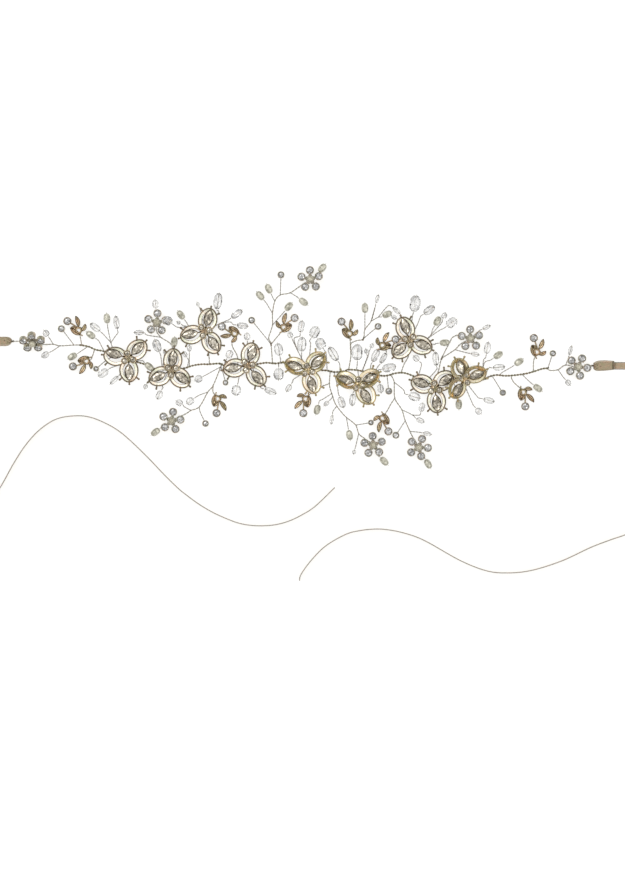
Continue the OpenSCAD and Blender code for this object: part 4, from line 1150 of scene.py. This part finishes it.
for i, (x, y, petals, lift) in enumerate(FLOWERS, 1):
    stones = Shape()
    middle = shift(x, y, FLOWER_Z + lift)
    for petal in petals:
        place = petal_matrix(middle, petal) @ shift(MARQUISE_X, 0, GIRDLE_Z)
        stones.add_tinted(gem(marquise_outline(*MARQUISE)), place, smooth=False)
        for side in (-1, 1):
            for u in (-0.22, 0.22):
                edge = marquise_outline(*MARQUISE)(acos(2 * u))[1] * side
                prong = place @ shift(u * MARQUISE[0], edge + side * 0.25, -0.45) @ turn(90 * side)
                claws.add(claw(1.0, 0.4, 0.28), prong)
        for end in (0, 180):
            claws.add(claw(1.0, 0.55, 0.34), place @ turn(end) @ shift(MARQUISE[0] / 2 + 0.2, 0, -0.45))
    for k in range(3):
        place = middle @ turn(mid_direction(petals, k)) @ shift(HEART_RADIUS, 0, GIRDLE_Z)
        round_stone(stones, HEART_STONE, place, 3, 60, 0.95)
    stones.build(f"flower_{i}_rhinestones", GREY_STONE, "rhinestone", (f"flower_{i}_stones",))

for i, row in enumerate(SMALL_FLOWERS, 1):
    stones = Shape()
    for k in range(5):
        # The stone under the raised bead gets brighter painted glints, for the light that it catches through
        # the bead
        bright = 3.0 if (i, k) == (2, 4) else 0.62
        place = small_flower_matrix(row) @ turn(72 * k) @ shift(RING_RADIUS, 0, GIRDLE_Z)
        round_stone(stones, ROUND_STONE, place, lights=bright)
    stones.build(f"small_flower_{i}_rhinestones", COOL_STONE, "rhinestone", (f"small_flower_{i}_stones",))

# Walls of the plate under a round pearl: grown from its edge, up, and the tint of the band that starts there
PLATE = [
    (-0.15, 0.05, 0.4), (0.0, 0.3, 0.5), (0.0, 0.85, 0.95), (-0.2, 1.02, 0.8), (-0.42, 0.9, 0.35),
    (-0.8, 1.05, 0.95), (-1.6, 1.1, 0.8),
]


def star_plate():
    """Plate of five broad rounded arms, with a sunk line round its edge."""
    loops = []
    for grow, z, tint in PLATE:
        loop = []
        for a in circle(60):
            r = 2.55 + grow + 0.9 * sqrt(0.5 + 0.5 * cos(5 * a))
            loop.append((r * cos(a), r * sin(a), z))
        loops.append(loop)
    return loft(loops, [tint for grow, z, tint in PLATE])


plates = Shape()
for row in SMALL_FLOWERS:
    plates.add_tinted(star_plate(), small_flower_matrix(row))
plates.build("pearl_plates", PLATE_GOLD, "antique_gold")

stones = Shape()
for x, y, d, bends in SINGLE_STONES:
    round_stone(stones, d, shift(x, y, WIRE_LOW + SPRIG_D / 2 + 0.1 + GIRDLE_Z))
stones.build("lone_rhinestones", COOL_STONE, "rhinestone", ("single_stones",))


def leaf_matrix(row):
    x, y, direction, hand, z = row
    return shift(x, y, z) @ turn(direction) @ Matrix.Diagonal((1, hand, 1, 1))


stones = Shape()
for row in filled(LEAF_CLUSTERS, 5, LEAF_Z):
    round_stone(stones, ROUND_STONE, leaf_matrix(row) @ shift(LEAF_REACH, 0, GIRDLE_Z))
stones.build("leaf_rhinestones", COOL_STONE, "rhinestone", ("leaf_stones",))
claws.build("claws", GOLD, "antique_gold")

pearls = Shape()
PEARL_R = MIDDLE_PEARL / 2
arc = [(max(0.02, PEARL_R * cos(a)), PEARL_R * sin(a)) for a in np.linspace(-1.57, 1.57, 13)]
for x, y, z, first, lean in SMALL_FLOWERS:
    pearls.add(revolve(arc, 24), shift(x, y, z) @ turn(lean, "X") @ shift(0, 0, 1 + PEARL_R))
pearls.build("gold_pearls", PALE_GOLD, "gold_pearl", ("small_flower_pearls",))

# Leaf clusters


def bow_radius(chord, sag):
    return (chord * chord / 4 + sag * sag) / (2 * sag)


def leaf_edges(x, long, out, back):
    dx = x - long / 2
    r_out, r_back = bow_radius(long, out), bow_radius(long, back)
    high = out - r_out + sqrt(max(0, r_out ** 2 - dx * dx))
    low = r_back - back - sqrt(max(0, r_back ** 2 - dx * dx))
    return low, high


def beading(casting, matrix, long, out, back):
    """Row of small balls along each edge of a leaf."""
    ball = revolve([(0.02, -0.24), (0.18, -0.16), (0.25, 0.0), (0.18, 0.16), (0.02, 0.24)], 7)
    for x in np.arange(0.5, long - 0.3, 0.62):
        low, high = leaf_edges(x, long, out, back)
        for y in (low + 0.16, high - 0.16):
            place = matrix @ shift(x, y, LEAF_THICK * 0.85)
            casting.add(ball, place, tint=0.1 if draw.random() < 0.5 else 0.5)


def leaf(long, out, back):
    """Leaf along +X between two arcs, with raised rims, a midrib and a hollow on each side of it."""
    n, m = 15, 11
    verts = []
    for layer in (0, 1):
        for i in range(n):
            x = long * (0.01 + 0.98 * i / (n - 1))
            low, high = leaf_edges(x, long, out, back)
            wide = high - low
            for k in range(m):
                v = 2 * k / (m - 1) - 1
                y = (high + low) / 2 + v * wide / 2
                rim = exp(-((abs(v) - 0.86) / 0.16) ** 2)
                rib = exp(-(v / 0.13) ** 2)
                full = min(1, wide / 1.2)
                wave = 0.04 * sin(x * 5 + abs(v) * 3)
                z = LEAF_THICK * (0.55 + full * (0.42 * rim + 0.3 * rib) + wave)
                verts.append((x, y, z if layer else 0.12 + 0.1 * v * v))
    top = n * m
    faces = [q[::-1] for q in grid_faces(n, m)] + [tuple(top + j for j in q) for q in grid_faces(n, m)]
    tints = []
    for layer in (0, 1):
        for i in range(n - 1):
            for k in range(m - 1):
                v = abs(2 * (k + 0.5) / (m - 1) - 1)
                # The hollows beside the midrib get painted highlights; the rims and midrib stay darker
                hollow = 0.16 if v > 0.6 else (0.3 if v < 0.12 else 0.8)
                tints.append(hollow * (1 - 0.6 * draw.random()) if 0 < i < n - 2 else 0.12)
    border = grid_border(n, m)
    faces += [(a, b, b + top, a + top) for a, b in zip(border, border[1:] + border[:1])]
    return verts, faces, tints + [0.1] * len(border)


EYE = (-0.8, 1.2)
# Ring round the eye: radius, up, and the tint of the band that starts there. The pale band on its inner lip
# is a painted highlight.
EYE_RING = [
    (1.05, 0.3, 0.3), (1.15, 1.0, 0.75), (1.4, 1.2, 0.45), (1.9, 1.15, 0.3), (2.3, 0.95, 0.16),
    (2.5, 0.5, 0.12), (2.4, 0.15, 0.1), (1.2, 0.12, 0.1),
]
# Leaves of a cluster: x, y and direction of the root, length, and swell of the outer and of the inner edge
LEAVES_OF_CLUSTER = [
    (-3.6, 3.1, -3, 8.4, 2.0, 1.1), (-2.4, 0.8, -88, 5.6, 0.5, 2.2), (0.2, -0.2, -44, 8, 0.9, 2.1),
    (0.4, 0.4, 31, 4.9, 0.8, 1.4),
]
for i, row in enumerate(filled(LEAF_CLUSTERS, 5, LEAF_Z), 1):
    casting = Shape()
    m = leaf_matrix(row)
    verts, faces, tints = tinted_ring(EYE_RING, 35)
    for v in verts:
        r = hypot(v[0], v[1])
        if r > 1.6:
            v[:2] *= 1 + 0.07 * cos(7 * atan2(v[1], v[0]))
    casting.add_tinted((verts, faces, tints), m @ shift(*EYE))
    for x, y, direction, *shape in LEAVES_OF_CLUSTER:
        place = m @ shift(x, y) @ turn(direction)
        casting.add_tinted(leaf(*shape), place)
        beading(casting, place, *shape)
    root = smooth_route([(-5, 2.8, 0.5), (-3.6, 2.9, 0.55), (-2.4, 2.7, 0.6)], 0.4)
    stalk = smooth_route([(-0.2, 0.2, 0.6), (2.5, 0, 0.55), (LEAF_REACH - 2, 0, 0.6)], 0.6)
    casting.add(tube(root, 0.45, 8), m)
    casting.add(tube(stalk, 0.5, 8), m)
    casting.add_tinted(cup(ROUND_STONE / 2 + STONE_GAP), m @ shift(LEAF_REACH, 0))
    casting.build(f"leaf_casting_{i}", BROWN_GOLD, "antique_gold", (f"leaf_cluster_{i}",))

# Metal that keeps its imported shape

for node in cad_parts.values():
    if not node.hide_render:
        node.data.materials.clear()
        node.data.materials.append(PACKED_GOLD)
